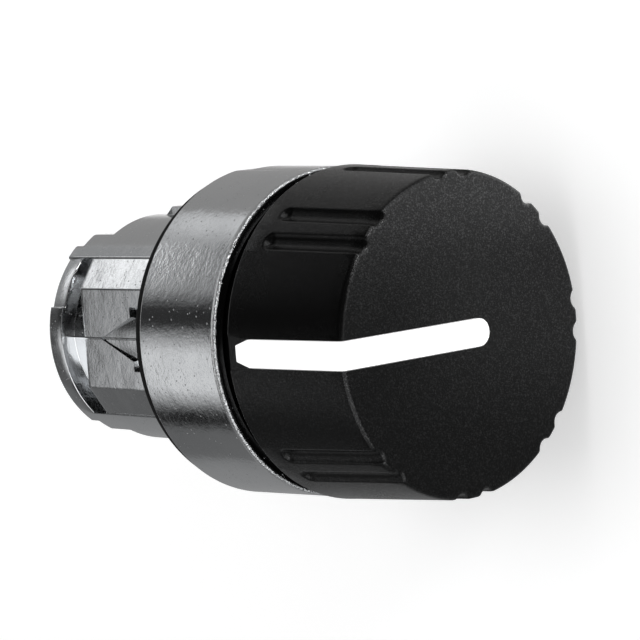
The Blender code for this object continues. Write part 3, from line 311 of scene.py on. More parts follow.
@dataclass(frozen=True)
class Plating:
    """Bright plating: orange peel, drops and pits, drawn streaks and fine handling marks.

    The depths of these are in millimetres. In front of y = rough_rim, where it isn't 0, the outer edge
    from rim_radius on is flecked as well.
    """

    name: str
    colour: Colour = grey(0.61, 0.014)
    roughness: float = 0.08
    peel: float = 0.012
    grain: float = 0.007
    pits: float = 0.026
    streaks: float = 0.0
    rough_rim: float = 0.0
    rim_radius: float = 14.4

    def material(self) -> bpy.types.Material:
        """Makes the plated metal.

        Returns:
            The material.
        """
        graph = Graph(self.name)
        wave = graph.noise(2.6, 1.0)
        skin = graph.noise(0.42, 3.0, 0.6)
        sparse = graph.noise(1.9, 2.0).mask(0.40, 0.52)
        pit = graph.cells(0.55).mask(0.17, 0.05) * sparse
        normal = graph.bump(wave, self.peel * 2.0)
        normal = graph.bump(skin, self.grain * 2.0, normal)
        normal = graph.bump(1.0 - pit, self.pits, normal)
        rough = self.roughness + skin * 0.06 + pit * 0.25
        if self.streaks > 0:
            drawn = graph.noise(0.16, 2.0, 0.6, graph.stretched((0.04, 1.0, 0.04)))
            normal = graph.bump(drawn, self.streaks, normal)
            rough = rough + drawn * 0.05
        if self.rough_rim:
            out, depth = graph.across()
            outside = out.mask(self.rim_radius, self.rim_radius + 0.15)
            rim = depth.mask(self.rough_rim + 0.3, self.rough_rim - 0.1) * outside
            flecks = graph.noise(0.2, 2.0, 0.7)
            normal = graph.bump(flecks * rim, 0.16, normal)
            rough = rough + rim * 0.05
        scratch = graph.noise(0.11, 1.0, 0.5, graph.stretched((0.05, 0.9, 0.35))).mask(0.70, 0.78)
        worn = graph.noise(5.0, 3.0).mask(0.35, 0.75)
        rough = rough + scratch * 0.10 + worn * 0.03
        tint = graph.blend(worn * 0.35 + pit * 0.6, self.colour, grey(0.50, 0.02))
        return graph.finish(Base_Color=tint, Metallic=1.0, Roughness=rough, Normal=normal)


@dataclass(frozen=True)
class GrainedPlastic:
    """Moulded plastic with a spark-eroded grain, fine glints on its tips, painted sparkle of lighter
    colour on the grain's high points, and a little dust.
    """

    name: str
    colour: Colour = grey(0.002)
    sparkle_and_dust_colour: Colour = grey(0.014)
    roughness: float = 0.24
    grain_size: float = 0.19
    grain_depth: float = 0.009
    shine: float = 0.17

    def material(self) -> bpy.types.Material:
        """Makes the moulded plastic.

        Returns:
            The material.
        """
        graph = Graph(self.name)
        fine = graph.noise(self.grain_size * 0.55, 3.0, 0.65)
        pits = graph.cells(self.grain_size)
        flow = graph.noise(6.5, 3.0)
        dust = graph.cells(1.15).mask(0.075, 0.02) * graph.noise(3.1).mask(0.52, 0.66)
        normal = graph.bump(pits, self.grain_depth)
        normal = graph.bump(fine, self.grain_depth * 0.7, normal)
        rough = self.roughness - 0.05 + fine * 0.08 + flow.mask(0.3, 0.7) * 0.05
        # The grain's high points are painted a little lighter as painted sparkle; the dust spots are real
        # dust.
        tint = graph.blend(fine.mask(0.55, 0.8) * 0.3 + dust * 0.6, self.colour, self.sparkle_and_dust_colour)
        glints = graph.noise(self.grain_size * 0.6, 3.0, 0.75).mask(0.5, 0.68)
        return graph.finish(
            Base_Color=tint, Roughness=rough, Normal=normal, Coat_Weight=glints,
            Coat_Roughness=self.roughness, Specular_IOR_Level=self.shine,
        )


@dataclass(frozen=True)
class Rubber:
    """Dull black rubber with a bloom and moulding grit."""

    name: str
    colour: Colour = grey(0.003)

    def material(self) -> bpy.types.Material:
        """Makes the rubber.

        Returns:
            The material.
        """
        graph = Graph(self.name)
        grit = graph.noise(0.22, 3.0, 0.6)
        bloom = graph.noise(2.4, 3.0).mask(0.45, 0.75)
        tint = graph.blend(bloom * 0.5, self.colour, grey(0.010))
        return graph.finish(
            Base_Color=tint, Specular_IOR_Level=0.2, Roughness=0.62 + grit * 0.2 + bloom * 0.06,
            Normal=graph.bump(grit, 0.02),
        )


@dataclass(frozen=True)
class Diffuser:
    """White light-spreading plastic, lit softly from behind."""

    name: str
    colour: Colour = grey(0.86)
    glow: float = 0.55

    def material(self) -> bpy.types.Material:
        """Makes the white plastic.

        Returns:
            The material.
        """
        graph = Graph(self.name)
        cloud = graph.noise(2.2, 2.0)
        skin = graph.noise(0.3, 2.0)
        tint = graph.blend(cloud.mask(0.4, 0.8) * 0.5, self.colour, grey(0.80, 0.01))
        lit = graph.blend(cloud.mask(0.35, 0.8) * 0.25, grey(1.0), grey(0.93, 0.01))
        return graph.finish(
            Base_Color=tint, Roughness=0.30 + skin * 0.08, Normal=graph.bump(skin, 0.004),
            Emission_Color=lit, Emission_Strength=self.glow,
        )


@dataclass(frozen=True)
class SpringSteel:
    """Drawn or blanked spring steel with fine lines and a trace of oil."""

    name: str
    colour: Colour = grey(0.46, 0.01)
    lines: Tuple[float, float, float] = (1.0, 0.08, 1.0)

    def material(self) -> bpy.types.Material:
        """Makes the steel.

        Returns:
            The material.
        """
        graph = Graph(self.name)
        line = graph.noise(0.07, 2.0, 0.6, graph.stretched(self.lines))
        stain = graph.noise(1.6, 3.0).mask(0.5, 0.75)
        tint = graph.blend(stain * 0.5, self.colour, (0.30, 0.27, 0.24, 1.0))
        return graph.finish(
            Base_Color=tint, Metallic=1.0, Roughness=0.22 + line * 0.14 + stain * 0.1,
            Normal=graph.bump(line, 0.005),
        )


@dataclass(frozen=True)
class Bronze:
    """Plain bearing bronze with turning marks and a dull tarnish."""

    name: str

    def material(self) -> bpy.types.Material:
        """Makes the bronze.

        Returns:
            The material.
        """
        graph = Graph(self.name)
        radius, _ = graph.across()
        turned = graph.noise(0.2, 2.0, 0.5, graph.vector(radius * (4 * MM)))
        tarnish = graph.noise(1.8, 3.0).mask(0.45, 0.7)
        tint = graph.blend(tarnish * 0.6, (0.58, 0.40, 0.21, 1.0), (0.30, 0.18, 0.09, 1.0))
        return graph.finish(
            Base_Color=tint, Metallic=1.0, Roughness=0.26 + turned * 0.15 + tarnish * 0.15,
            Normal=graph.bump(turned, 0.004),
        )


@dataclass(frozen=True)
class ClearGuide:
    """Clear polished plastic that carries light."""

    name: str

    def material(self) -> bpy.types.Material:
        """Makes the clear plastic.

        Returns:
            The material.
        """
        graph = Graph(self.name)
        skin = graph.noise(0.8, 2.0)
        haze = graph.noise(1.4, 3.0).mask(0.5, 0.8)
        return graph.finish(
            Base_Color=graph.blend(haze * 0.4, grey(0.92, 0.02), grey(0.80, 0.03)),
            Roughness=0.05 + haze * 0.06, Transmission_Weight=0.92, IOR=1.49,
            Normal=graph.bump(skin, 0.003),
        )


# Shapes


class Cut(Enum):
    """What a Boolean does with its second shape."""

    REMOVE = "DIFFERENCE"
    ADD = "UNION"
    KEEP_COMMON = "INTERSECT"


class Face(Enum):
    """The plane of a prism's outline: the two axes of its points, and then the one across."""

    XY = (0, 1, 2)
    XZ = (0, 2, 1)


def into_scene(name: str, bm: bmesh.types.BMesh) -> bpy.types.Object:
    """Turns a mesh in the making into an object of the scene.

    Args:
        name: The object's name.
        bm: The mesh, which is used up.

    Returns:
        The object.
    """
    mesh = bpy.data.meshes.new(name)
    bm.to_mesh(mesh)
    bm.free()
    made = bpy.data.objects.new(name, mesh)
    bpy.context.scene.collection.objects.link(made)
    return made


class Shape:
    """A mesh in the making, in millimetres."""

    def __init__(self, bm: bmesh.types.BMesh) -> None:
        """Takes over a mesh."""
        self.bm = bm

    @classmethod
    def turned(cls, profile: Sequence[Point], columns: Sequence[float], closed: bool = True) -> "Shape":
        """Spins a profile about Y.

        Args:
            profile: Points of (radius, y).
            columns: The angles of its columns in degrees, from 0 up and below 360.
            closed: Whether the last point joins the first.

        Returns:
            The turned shape.
        """
        bm = bmesh.new()
        wire = [bm.verts.new((0.0, y, radius)) for radius, y in profile]
        pairs = list(zip(wire, wire[1:])) + ([(wire[-1], wire[0])] if closed else [])
        edges = [bm.edges.new(pair) for pair in pairs]
        count = len(columns)
        bmesh.ops.spin(
            bm, geom=wire + edges, cent=(0.0, 0.0, 0.0), axis=(0.0, 1.0, 0.0), angle=2 * math.pi,
            steps=count, use_merge=True,
        )
        for vertex in bm.verts:
            radius = math.hypot(vertex.co.x, vertex.co.z)
            even = math.atan2(vertex.co.x, vertex.co.z) % (2 * math.pi)
            angle = math.radians(columns[round(even * count / (2 * math.pi)) % count])
            vertex.co.x, vertex.co.z = radius * math.sin(angle), radius * math.cos(angle)
        bmesh.ops.remove_doubles(bm, verts=bm.verts, dist=MERGE)
        bmesh.ops.recalc_face_normals(bm, faces=bm.faces)
        return cls(bm)

    @classmethod
    def prism(cls, outline: Sequence[Point], low: float, high: float, face: Face) -> "Shape":
        """Extrudes a flat outline.

        Args:
            outline: Its points, in the plane of face.
            low: Where the prism starts across that plane.
            high: Where it ends.
            face: The plane.

        Returns:
            The prism.
        """
        bm = bmesh.new()
        first, second, across = face.value
        corners = []
        for a, b in outline:
            place = [0.0, 0.0, 0.0]
            place[first], place[second], place[across] = a, b, low
            corners.append(bm.verts.new(place))
        base = bm.faces.new(corners)
        raised = bmesh.ops.extrude_face_region(bm, geom=[base])["geom"]
        move = [0.0, 0.0, 0.0]
        move[across] = high - low
        tops = [item for item in raised if isinstance(item, bmesh.types.BMVert)]
        bmesh.ops.translate(bm, verts=tops, vec=move)
        bmesh.ops.recalc_face_normals(bm, faces=bm.faces)
        return cls(bm)

    @classmethod
    def block(cls, low: Sequence[float], high: Sequence[float]) -> "Shape":
        """Returns a box between two corners."""
        outline = [(low[0], low[1]), (high[0], low[1]), (high[0], high[1]), (low[0], high[1])]
        return cls.prism(outline, low[2], high[2], Face.XY)

    def moved(self, matrix: Matrix) -> "Shape":
        """Moves or turns the shape, and returns it."""
        bmesh.ops.transform(self.bm, matrix=matrix, verts=self.bm.verts)
        return self

    def beside(self, x: float) -> "Shape":
        """Moves the shape along X, and returns it."""
        return self.moved(Matrix.Translation((x, 0.0, 0.0)))

    def drawn(self, reach: Callable[[float, float, float], float]) -> "Shape":
        """Draws points towards the turning axis or away from it.

        Args:
            reach: Gives a point's new radius from its angle in degrees, its radius and its y.

        Returns:
            This shape.
        """
        for vertex in self.bm.verts:
            radius = math.hypot(vertex.co.x, vertex.co.z)
            if radius > MERGE:
                angle = math.degrees(math.atan2(vertex.co.x, vertex.co.z))
                scale = reach(angle, radius, vertex.co.y) / radius
                vertex.co.x *= scale
                vertex.co.z *= scale
        return self

    def boolean(self, cut: Cut, first: "Shape", *others: "Shape") -> "Shape":
        """Joins other shapes to this one, or cuts them off it.

        Args:
            cut: What is done.
            first: The other shape, which is used up.
            others: More of them, which are joined to the first.

        Returns:
            This shape.
        """
        for other in others:
            first.boolean(Cut.ADD, other)
        base, tool = into_scene("base", self.bm), into_scene("tool", first.bm)
        modifier = base.modifiers.new("cut", "BOOLEAN")
        modifier.operation, modifier.solver, modifier.object = cut.value, "EXACT", tool
        graph = bpy.context.evaluated_depsgraph_get()
        result = bpy.data.meshes.new_from_object(base.evaluated_get(graph))
        self.bm = bmesh.new()
        self.bm.from_mesh(result)
        for mesh in (base.data, tool.data, result):
            bpy.data.meshes.remove(mesh)
        return self

    def rounded(self, width: float, segments: int, test: Callable[[Vector], bool]) -> "Shape":
        """Bevels some of the sharp edges.

        Args:
            width: The bevel's width.
            segments: Its steps.
            test: Says which edges to take, from the middle of each.

        Returns:
            This shape.
        """
        sharp = [
            edge
            for edge in self.bm.edges
            if edge.calc_face_angle(0.0) > math.radians(BEVEL_FROM)
            and test((edge.verts[0].co + edge.verts[1].co) / 2)
        ]
        bmesh.ops.bevel(
            self.bm, geom=sharp, offset=width, offset_type="OFFSET", affect="EDGES",
            segments=segments, profile=0.5, material=-1, clamp_overlap=True,
        )
        return self

    def settled(self, name: str, crease: float = 38.0) -> bpy.types.Object:
        """Makes the finished object, at the origin and in metres.

        Args:
            name: Its name.
            crease: The angle in degrees from which an edge is drawn sharp.

        Returns:
            The object, shaded smooth with its normals weighted by area.
        """
        self.moved(Matrix.Scale(MM, 4))
        made = into_scene(name, self.bm)
        made.data.shade_smooth()
        made.data.set_sharp_from_angle(angle=math.radians(crease))
        weigh = made.modifiers.new("even_normals", "WEIGHTED_NORMAL")
        weigh.keep_sharp = True
        weigh.weight = 80
        return made


def even_columns(count: int) -> List[float]:
    """Returns that many angles round the circle, in degrees."""
    return [360.0 * index / count for index in range(count)]


def packed(start: float, end: float, coarse: float, marks: Sequence[Mark]) -> List[float]:
    """Spaces values evenly, and closer round some marks.

    Args:
        start: The first value.
        end: The last value.
        coarse: The most that two values may be apart.
        marks: For each mark its place, its reach to either side and its spacing.

    Returns:
        The values in order, with both ends.
    """
    wanted = {round(start, 5), round(end, 5)}
    for centre, reach, step in marks:
        count = max(1, round(2 * reach / step))
        for index in range(count + 1):
            value = centre - reach + 2 * reach * index / count
            if start < value < end:
                wanted.add(round(value, 5))
    values: List[float] = []
    smallest = min([step for _, _, step in marks] + [coarse]) * TOO_CLOSE
    for value in sorted(wanted):
        if not values or value - values[-1] > smallest or value == round(end, 5):
            values.append(value)
    filled = [values[0]]
    for value in values[1:]:
        first = filled[-1]
        gap = value - first
        parts = max(1, math.ceil(gap / coarse - 1e-6))
        filled += [first + gap * (part + 1) / parts for part in range(parts)]
    return filled


def round_columns(coarse: float, marks: Sequence[Mark]) -> List[float]:
    """Spaces angles round the whole circle, closer together round some marks.

    Args:
        coarse: The most that two angles may be apart, in degrees.
        marks: For each mark its angle, its reach to either side and its spacing.

    Returns:
        The angles in degrees, from 0 up and below 360.
    """
    turns = (-360, 0, 360)
    wrapped = [(centre + turn, reach, step) for centre, reach, step in marks for turn in turns]
    return packed(0.0, 360.0, coarse, wrapped)[:-1]


def arc(centre: Point, radius: float, start: float, end: float, steps: int) -> List[Point]:
    """Returns points on an arc, whose angles in degrees count from the first axis."""
    angles = [math.radians(start + (end - start) * step / steps) for step in range(steps + 1)]
    return [(centre[0] + radius * math.cos(a), centre[1] + radius * math.sin(a)) for a in angles]


def soft_min(first: float, second: float, width: float) -> float:
    """Returns the smaller value, with the corner between the two rounded over a width."""
    overlap = max(width - abs(first - second), 0.0) / width
    return min(first, second) - overlap * overlap * width / 4


def round_step(before: float, after: float, past: float, radius: float) -> float:
    """Returns a height that changes at a wall with a small fillet at its top and foot.

    Args:
        before: The height in front of the wall.
        after: The height behind it.
        past: How far behind the wall this place is.
        radius: The fillets' radius.

    Returns:
        The height at this place.
    """
    near = abs(past)
    if near >= radius:
        return before if past < 0 else after
    corner = radius - math.sqrt(max(0.0, radius**2 - (radius - near) ** 2))
    corner = math.copysign(min(corner, abs(before - after) / 2), before - after)
    return before - corner if past < 0 else after + corner


def turned_by(angle: float) -> float:
    """Returns an angle in degrees brought between -180 and 180."""
    return (angle + 180.0) % 360.0 - 180.0


# Sub-assemblies


class Body(Enum):
    """The bodies that pieces ride on."""

    HOUSING = "housing"
    SELECTOR = "selector"
    LEFT_PUSHER = "left_pusher"
    RIGHT_PUSHER = "right_pusher"


def dress(piece: bpy.types.Object, node: str, finish: bpy.types.Material) -> None:
    """Gives a finished piece its material and puts it in the place of a CAD node.

    Args:
        piece: The piece.
        node: The CAD node that it stands for, which is hidden.
        finish: Its material.
    """
    piece.data.materials.append(finish)
    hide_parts(node)
    LOG.info("%s: %d faces", piece.name, len(piece.data.polygons))


def stand_for(piece: bpy.types.Object, node: str, body: Body, finish: bpy.types.Material) -> None:
    """Dresses a piece, and lets it ride on a body.

    Args:
        piece: The piece.
        node: The CAD node that it stands for.
        body: The body.
        finish: Its material.
    """
    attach(piece, body.value)
    dress(piece, node, finish)


@dataclass
class Bezel:
    """The plated cap round the knob."""

    radius: float = 15.0
    taper: float = 0.25
    bore: float = 13.7
    front: float = -11.2
    rear: float = -1.05
    inside: float = -2.65
    neck_hole: float = 10.9
    rim: float = 0.2
    rear_edge: float = 0.16
    gate_depth: float = 0.2
    gate_length: float = 2.0
    inner_edge: float = 0.16
    hollow_chamfer: float = 0.3
    columns: int = 240

    def profile(self) -> List[Point]:
        """Works out the cap's section with its rolled rim.

        Returns:
            Its points.
        """
        front_radius = self.radius - self.taper
        rim_middle = self.front + self.rim
        outer = arc((front_radius - self.rim, rim_middle), self.rim, -90.0, 0.0, 7)
        inner_middle = (self.bore + self.inner_edge, self.front + self.inner_edge)
        inner = arc(inner_middle, self.inner_edge, -180.0, -90.0, 3)
        edge_middle = (self.radius - self.rear_edge, self.rear - self.rear_edge)
        edge = arc(edge_middle, self.rear_edge, 0.0, 90.0, 4)
        hole = [(self.neck_hole, self.rear), (self.neck_hole, self.inside)]
        chamfer = self.hollow_chamfer
        hollow = [(self.bore - chamfer, self.inside), (self.bore, self.inside - chamfer)]
        return inner + outer + edge + hole + hollow

    def build(self) -> bpy.types.Object:
        """Makes the cap.

        Returns:
            The cap, with the flat that its moulding gate left.
        """
        shape = Shape.turned(self.profile(), even_columns(self.columns))
        flat = self.radius - self.gate_depth
        low = (flat, self.rear - self.gate_length, -self.bore)
        gate = Shape.block(low, (flat + 1.0, self.rear + 0.5, self.bore))
        return shape.boolean(Cut.REMOVE, gate).settled("bezel_cap")


@dataclass
class Gasket:
    """The flat rubber ring between the bezel and the panel."""

    radius: float = 14.6
    bore: float = 10.9
    thickness: float = 1.0
    lip: float = 0.35
    rear_edge: float = 0.08
    columns: int = 180

    def build(self) -> bpy.types.Object:
        """Makes the ring.

        Returns:
            The ring, with a soft outer lip.
        """
        lip = arc((self.radius - self.lip, self.lip - self.thickness), self.lip, -90.0, 0.0, 4)
        profile = lip + [(self.radius, 0.0), (self.bore, 0.0), (self.bore, -self.thickness)]
        shape = Shape.turned(profile, even_columns(self.columns))
        shape.rounded(self.rear_edge, 2, lambda middle: middle.y > -0.01)
        return shape.settled("gasket_ring")


@dataclass
class Neck:
    """The plated neck behind the bezel, with flats, latch grooves, arrows and panel key.

    Where its flats and the key end round the neck, and where the rim's step starts, is in degrees.
    """

    radius: float = 10.75
    bore: float = 7.7
    end: float = 18.5
    end_edge: float = 0.3
    flat: float = 9.4
    flat_start: float = 0.02
    flat_half_width: float = 4.68
    facet_edge: float = 43.85
    facet_sink: float = 0.16
    groove_front: float = 14.65
    groove_rear: float = 16.45
    groove_floor: float = 9.2
    groove_draft: float = 2.0
    side_start: float = 14.2
    side_flat: float = 9.35
    tail_start: float = 17.2
    tail_flat: float = 8.4
    rim_step: float = 0.3
    rim_step_start: float = 16.2
    arrow_tip: float = 12.1
    arrow_base: float = 7.4
    arrow_half_width: float = 2.05
    shank_half_width: float = 3.0
    arrow_floor: float = 9.25
    key_half_width: float = 0.8
    key_top: float = 11.55
    key_end: float = 11.6
    key_slope: float = 1.0
    parting: float = 0.03
    parting_width: float = 0.07
    parting_start: float = 0.5
    flange: float = 13.5
    flange_front: float = -4.65
    flange_rear: float = -3.35
    outside_start: float = -3.3
    collar: float = 10.2
    collar_front: float = -8.65
    stop_half_angle: int = 56
    stop_rear: float = -6.1
    web_bore: float = 4.4
    web_front: float = 1.2
    web_rear: float = 2.4
    ring_groove: float = 8.0
    ring_front: float = 16.93
    ring_rear: float = 17.63
    pocket_radius: float = 8.1
    pocket_half_angle: float = 38.0
    pocket_middle: float = 4.3
    pocket_half_width: float = 1.0
    fillet: float = 0.09
    soft: float = 0.08
    flat_edge: float = 26.5
    side_edge: float = 60.4
    tail_edge: float = 51.4
    key_edge: float = 4.27
    collar_chamfer: float = 0.3
    mouth_chamfer: float = 0.25
    stop_step: int = 4

    def facets(self, angle: float) -> float:
        """Works out the outline over a latch flat and its two facets.

        Args:
            angle: The angle from the flat's middle.

        Returns:
            The radius there.
        """
        side = abs(angle)
        crease = Vector((self.flat_half_width, self.flat))
        low = self.radius - self.facet_sink
        edge = math.radians(self.facet_edge)
        outer = Vector((low * math.sin(edge), low * math.cos(edge)))
        along = (outer - crease).normalized()
        normal = Vector((-along.y, along.x))
        tilt = math.degrees(math.atan2(normal.x, normal.y))
        plane = normal.dot(crease)
        middle = self.flat / max(LEAST_COSINE, math.cos(math.radians(side)))
        facet = plane / max(LEAST_COSINE, math.cos(math.radians(side - tilt)))
        cut = soft_min(middle, facet, self.soft)
        past = math.radians(side - self.facet_edge) * self.radius
        return round_step(cut, self.radius, past, self.fillet)

    def groove(self, side: float, around: float) -> float:
        """Works out the latch groove's round floor.

        Args:
            side: The angle from the flat's middle.
            around: The radius past the groove's end walls.

        Returns:
            The radius there.
        """
        fall = math.sin(math.radians(self.groove_draft)) * abs(math.sin(math.radians(side)))
        past = math.radians(abs(side) - self.facet_edge) * self.radius
        return round_step(self.groove_floor * (1 - fall), around, past, self.fillet)

    def sides(self, angle: float, y: float) -> float:
        """Works out the round neck, flattened at its sides behind the latch.

        Args:
            angle: The angle.
            y: The depth behind the panel's front face.

        Returns:
            The radius there.
        """
        lean = abs(math.sin(math.radians(angle)))
        wide = soft_min(self.radius, self.side_flat / max(LEAST_COSINE, lean), self.soft)
        tail = soft_min(self.radius, self.tail_flat / max(LEAST_COSINE, lean), self.soft)
        first = round_step(self.radius, wide, y - self.side_start, self.fillet)
        return round_step(first, tail, y - self.tail_start, self.fillet)

    def key(self, angle: float, y: float, around: float) -> float:
        """Works out the panel key at 3 o'clock.

        Args:
            angle: The angle.
            y: The depth behind the panel's front face.
            around: The radius beside the key.

        Returns:
            The radius there.
        """
        slope = min(1.0, (self.key_end - y) / self.key_slope)
        if slope <= 0:
            return around
        top = self.radius + (self.key_top - self.radius) * slope
        past = abs(math.radians(turned_by(angle - 90.0))) * self.radius - self.key_half_width
        return round_step(max(top, around), around, past, self.fillet)

    def seam(self, angle: float) -> float:
        """Returns the height of the mould's parting line, which runs down the middle of each flat."""
        aside = math.sin(math.radians(angle)) * self.flat
        return self.parting * math.exp(-((aside / self.parting_width) ** 2))

    def outside(self, angle: float, y: float) -> float:
        """Works out the neck's whole outside.

        Args:
            angle: The angle.
            y: The depth behind the panel's front face.

        Returns:
            The radius there.
        """
        side = turned_by(angle) if abs(turned_by(angle)) <= 90 else turned_by(angle - 180.0)
        around = self.sides(angle, y)
        latch = min(self.facets(side), around)
        latch = round_step(self.radius, latch, y - self.flat_start, self.flat_start)
        ridge = self.seam(angle)
        latch += ridge if self.parting_start < y < self.groove_front - 0.2 else 0.0
        floor = self.groove(side, around) + ridge
        rim = around
        if turned_by(angle) > 0 and abs(turned_by(angle)) < 90:
            start = math.radians(side - self.rim_step_start) * self.radius
            stop = math.radians(side - self.facet_edge) * self.radius
            rim = min(around, round_step(self.radius, self.radius - self.rim_step, start, self.fillet))
            rim = round_step(rim, around, stop, self.fillet)
        result = round_step(latch, floor, y - self.groove_front, self.fillet)
        result = round_step(result, rim, y - self.groove_rear, self.fillet)
        return self.key(angle, y, result)

    def columns(self) -> List[float]:
        """Works out the angles of its columns, close together at each edge.

        Returns:
            The angles in degrees.
        """
        edges = (
            (0.0, 0.9, 0.15), (self.flat_edge, 1.3, 0.22), (self.facet_edge, 1.0, 0.16),
            (self.side_edge, 1.2, 0.3), (self.tail_edge, 1.2, 0.3), (self.pocket_half_angle, 0.2, 0.2),
        )
        marks = [(self.rim_step_start, 0.9, 0.12), (90.0, 3.0, 1.0)]
        for side in (-1, 1):
            marks.append((90.0 + side * self.key_edge, 0.9, 0.16))
            for middle in (0.0, 180.0):
                marks += [(middle + side * angle, reach, step) for angle, reach, step in edges]
        return round_columns(3.0, marks)

    def rows(self) -> List[float]:
        """Works out the depths of the outside's rows, close together at each step.

        Returns:
            The depths.
        """
        close = [self.groove_front, self.groove_rear, self.side_start, self.tail_start]
        marks = [(place, self.fillet, self.fillet / 4) for place in close]
        marks += [(place, 0.003, 0.006) for place in close + [self.flat_start]]
        marks += [(self.key_end - place, 0.1, 0.05) for place in (0.0, self.key_slope)]
        return packed(self.outside_start, self.end - self.end_edge, 1.4, marks)

    def arrow(self, turn: float) -> Shape:
        """Makes what the arrow's recess takes off the neck.

        Args:
            turn: The angle of the flat that it is in.

        Returns:
            The arrow's prism with its round floor and the seam in it.
        """
        half = [
            (self.shank_half_width, 0.05), (self.shank_half_width, self.arrow_base),
            (self.arrow_half_width, self.arrow_base),
        ]
        outline = half + [(0.0, self.arrow_tip)] + [(-x, y) for x, y in reversed(half)]
        core = [(0.0, -1.0), (self.arrow_floor, -1.0), (self.arrow_floor, 15.0), (0.0, 15.0)]
        floor = Shape.turned(core, self.columns(), closed=False)
        floor.drawn(lambda angle, radius, _: radius + (self.seam(angle) if radius > 1.0 else 0.0))
        recess = Shape.prism(outline, self.bore, self.radius + 1.0, Face.XY).boolean(Cut.REMOVE, floor)
        return recess.moved(Matrix.Rotation(math.radians(turn), 4, "Y"))

    def profile(self) -> List[Point]:
        """Works out the section of flange, collar, neck and bore, before the outside is shaped.

        Returns:
            Its points.
        """
        outer = [(self.radius, self.flange_rear)] + [(self.radius, y) for y in self.rows()]
        edge_middle = (self.radius - self.end_edge, self.end - self.end_edge)
        edge = arc(edge_middle, self.end_edge, 15.0, 90.0, 5)
        low = self.pocket_middle - self.pocket_half_width
        high = self.pocket_middle + self.pocket_half_width
        mouth = [
            (self.bore + self.mouth_chamfer, self.end), (self.bore + 0.07, self.end - 0.08),
            (self.bore, self.end - self.mouth_chamfer), (self.bore, self.ring_rear),
            (self.ring_groove, self.ring_rear), (self.ring_groove, self.ring_front),
            (self.bore, self.ring_front),
        ]
        pocket = [(self.bore, y) for y in (high + 0.01, high, low, low - 0.01, self.web_rear)]
        inside = [
            (self.web_bore, self.web_rear), (self.web_bore, self.web_front),
            (self.bore, self.web_front), (self.bore, self.collar_front),
        ]
        chamfer = self.collar_chamfer
        collar = [
            (self.collar - chamfer, self.collar_front), (self.collar, self.collar_front + chamfer),
            (self.collar, self.flange_front), (self.flange, self.flange_front),
            (self.flange, self.flange_rear),
        ]
        return outer + edge + mouth + pocket + inside + collar

    def drawn_radius(self, angle: float, radius: float, y: float) -> float:
        """Says where a point of the turned neck goes.

        Args:
            angle: Its angle.
            radius: Its radius so far.
            y: Its y.

        Returns:
            Its new radius.
        """
        side = min(abs(turned_by(angle)), abs(turned_by(angle - 180.0)))
        by_pocket = abs(y - self.pocket_middle) < self.pocket_half_width + 0.001
        if by_pocket and radius < self.bore + 0.2 and side <= self.pocket_half_angle + 0.05:
            return self.pocket_radius
        if y > self.outside_start + 0.1 and radius > self.radius - self.end_edge - 0.01:
            return radius + (self.outside(angle, y) - self.radius)
        return radius

    def build(self) -> bpy.types.Object:
        """Makes the neck.

        Returns:
            The neck, turned and then drawn into shape.
        """
        shape = Shape.turned(self.profile(), self.columns()).drawn(self.drawn_radius)
        angles = range(-self.stop_half_angle, self.stop_half_angle + 1, self.stop_step)
        window = [
            (radius * math.sin(math.radians(180 + angle)), radius * math.cos(math.radians(180 + angle)))
            for radius, order in ((self.bore - 0.15, angles), (self.collar + 1.0, reversed(angles)))
            for angle in order
        ]
        stop = Shape.prism(window, self.collar_front - 1.0, self.stop_rear, Face.XZ)
        shape.boolean(Cut.REMOVE, stop, self.arrow(0.0), self.arrow(180.0))
        return shape.settled("neck_casting", crease=22.0)


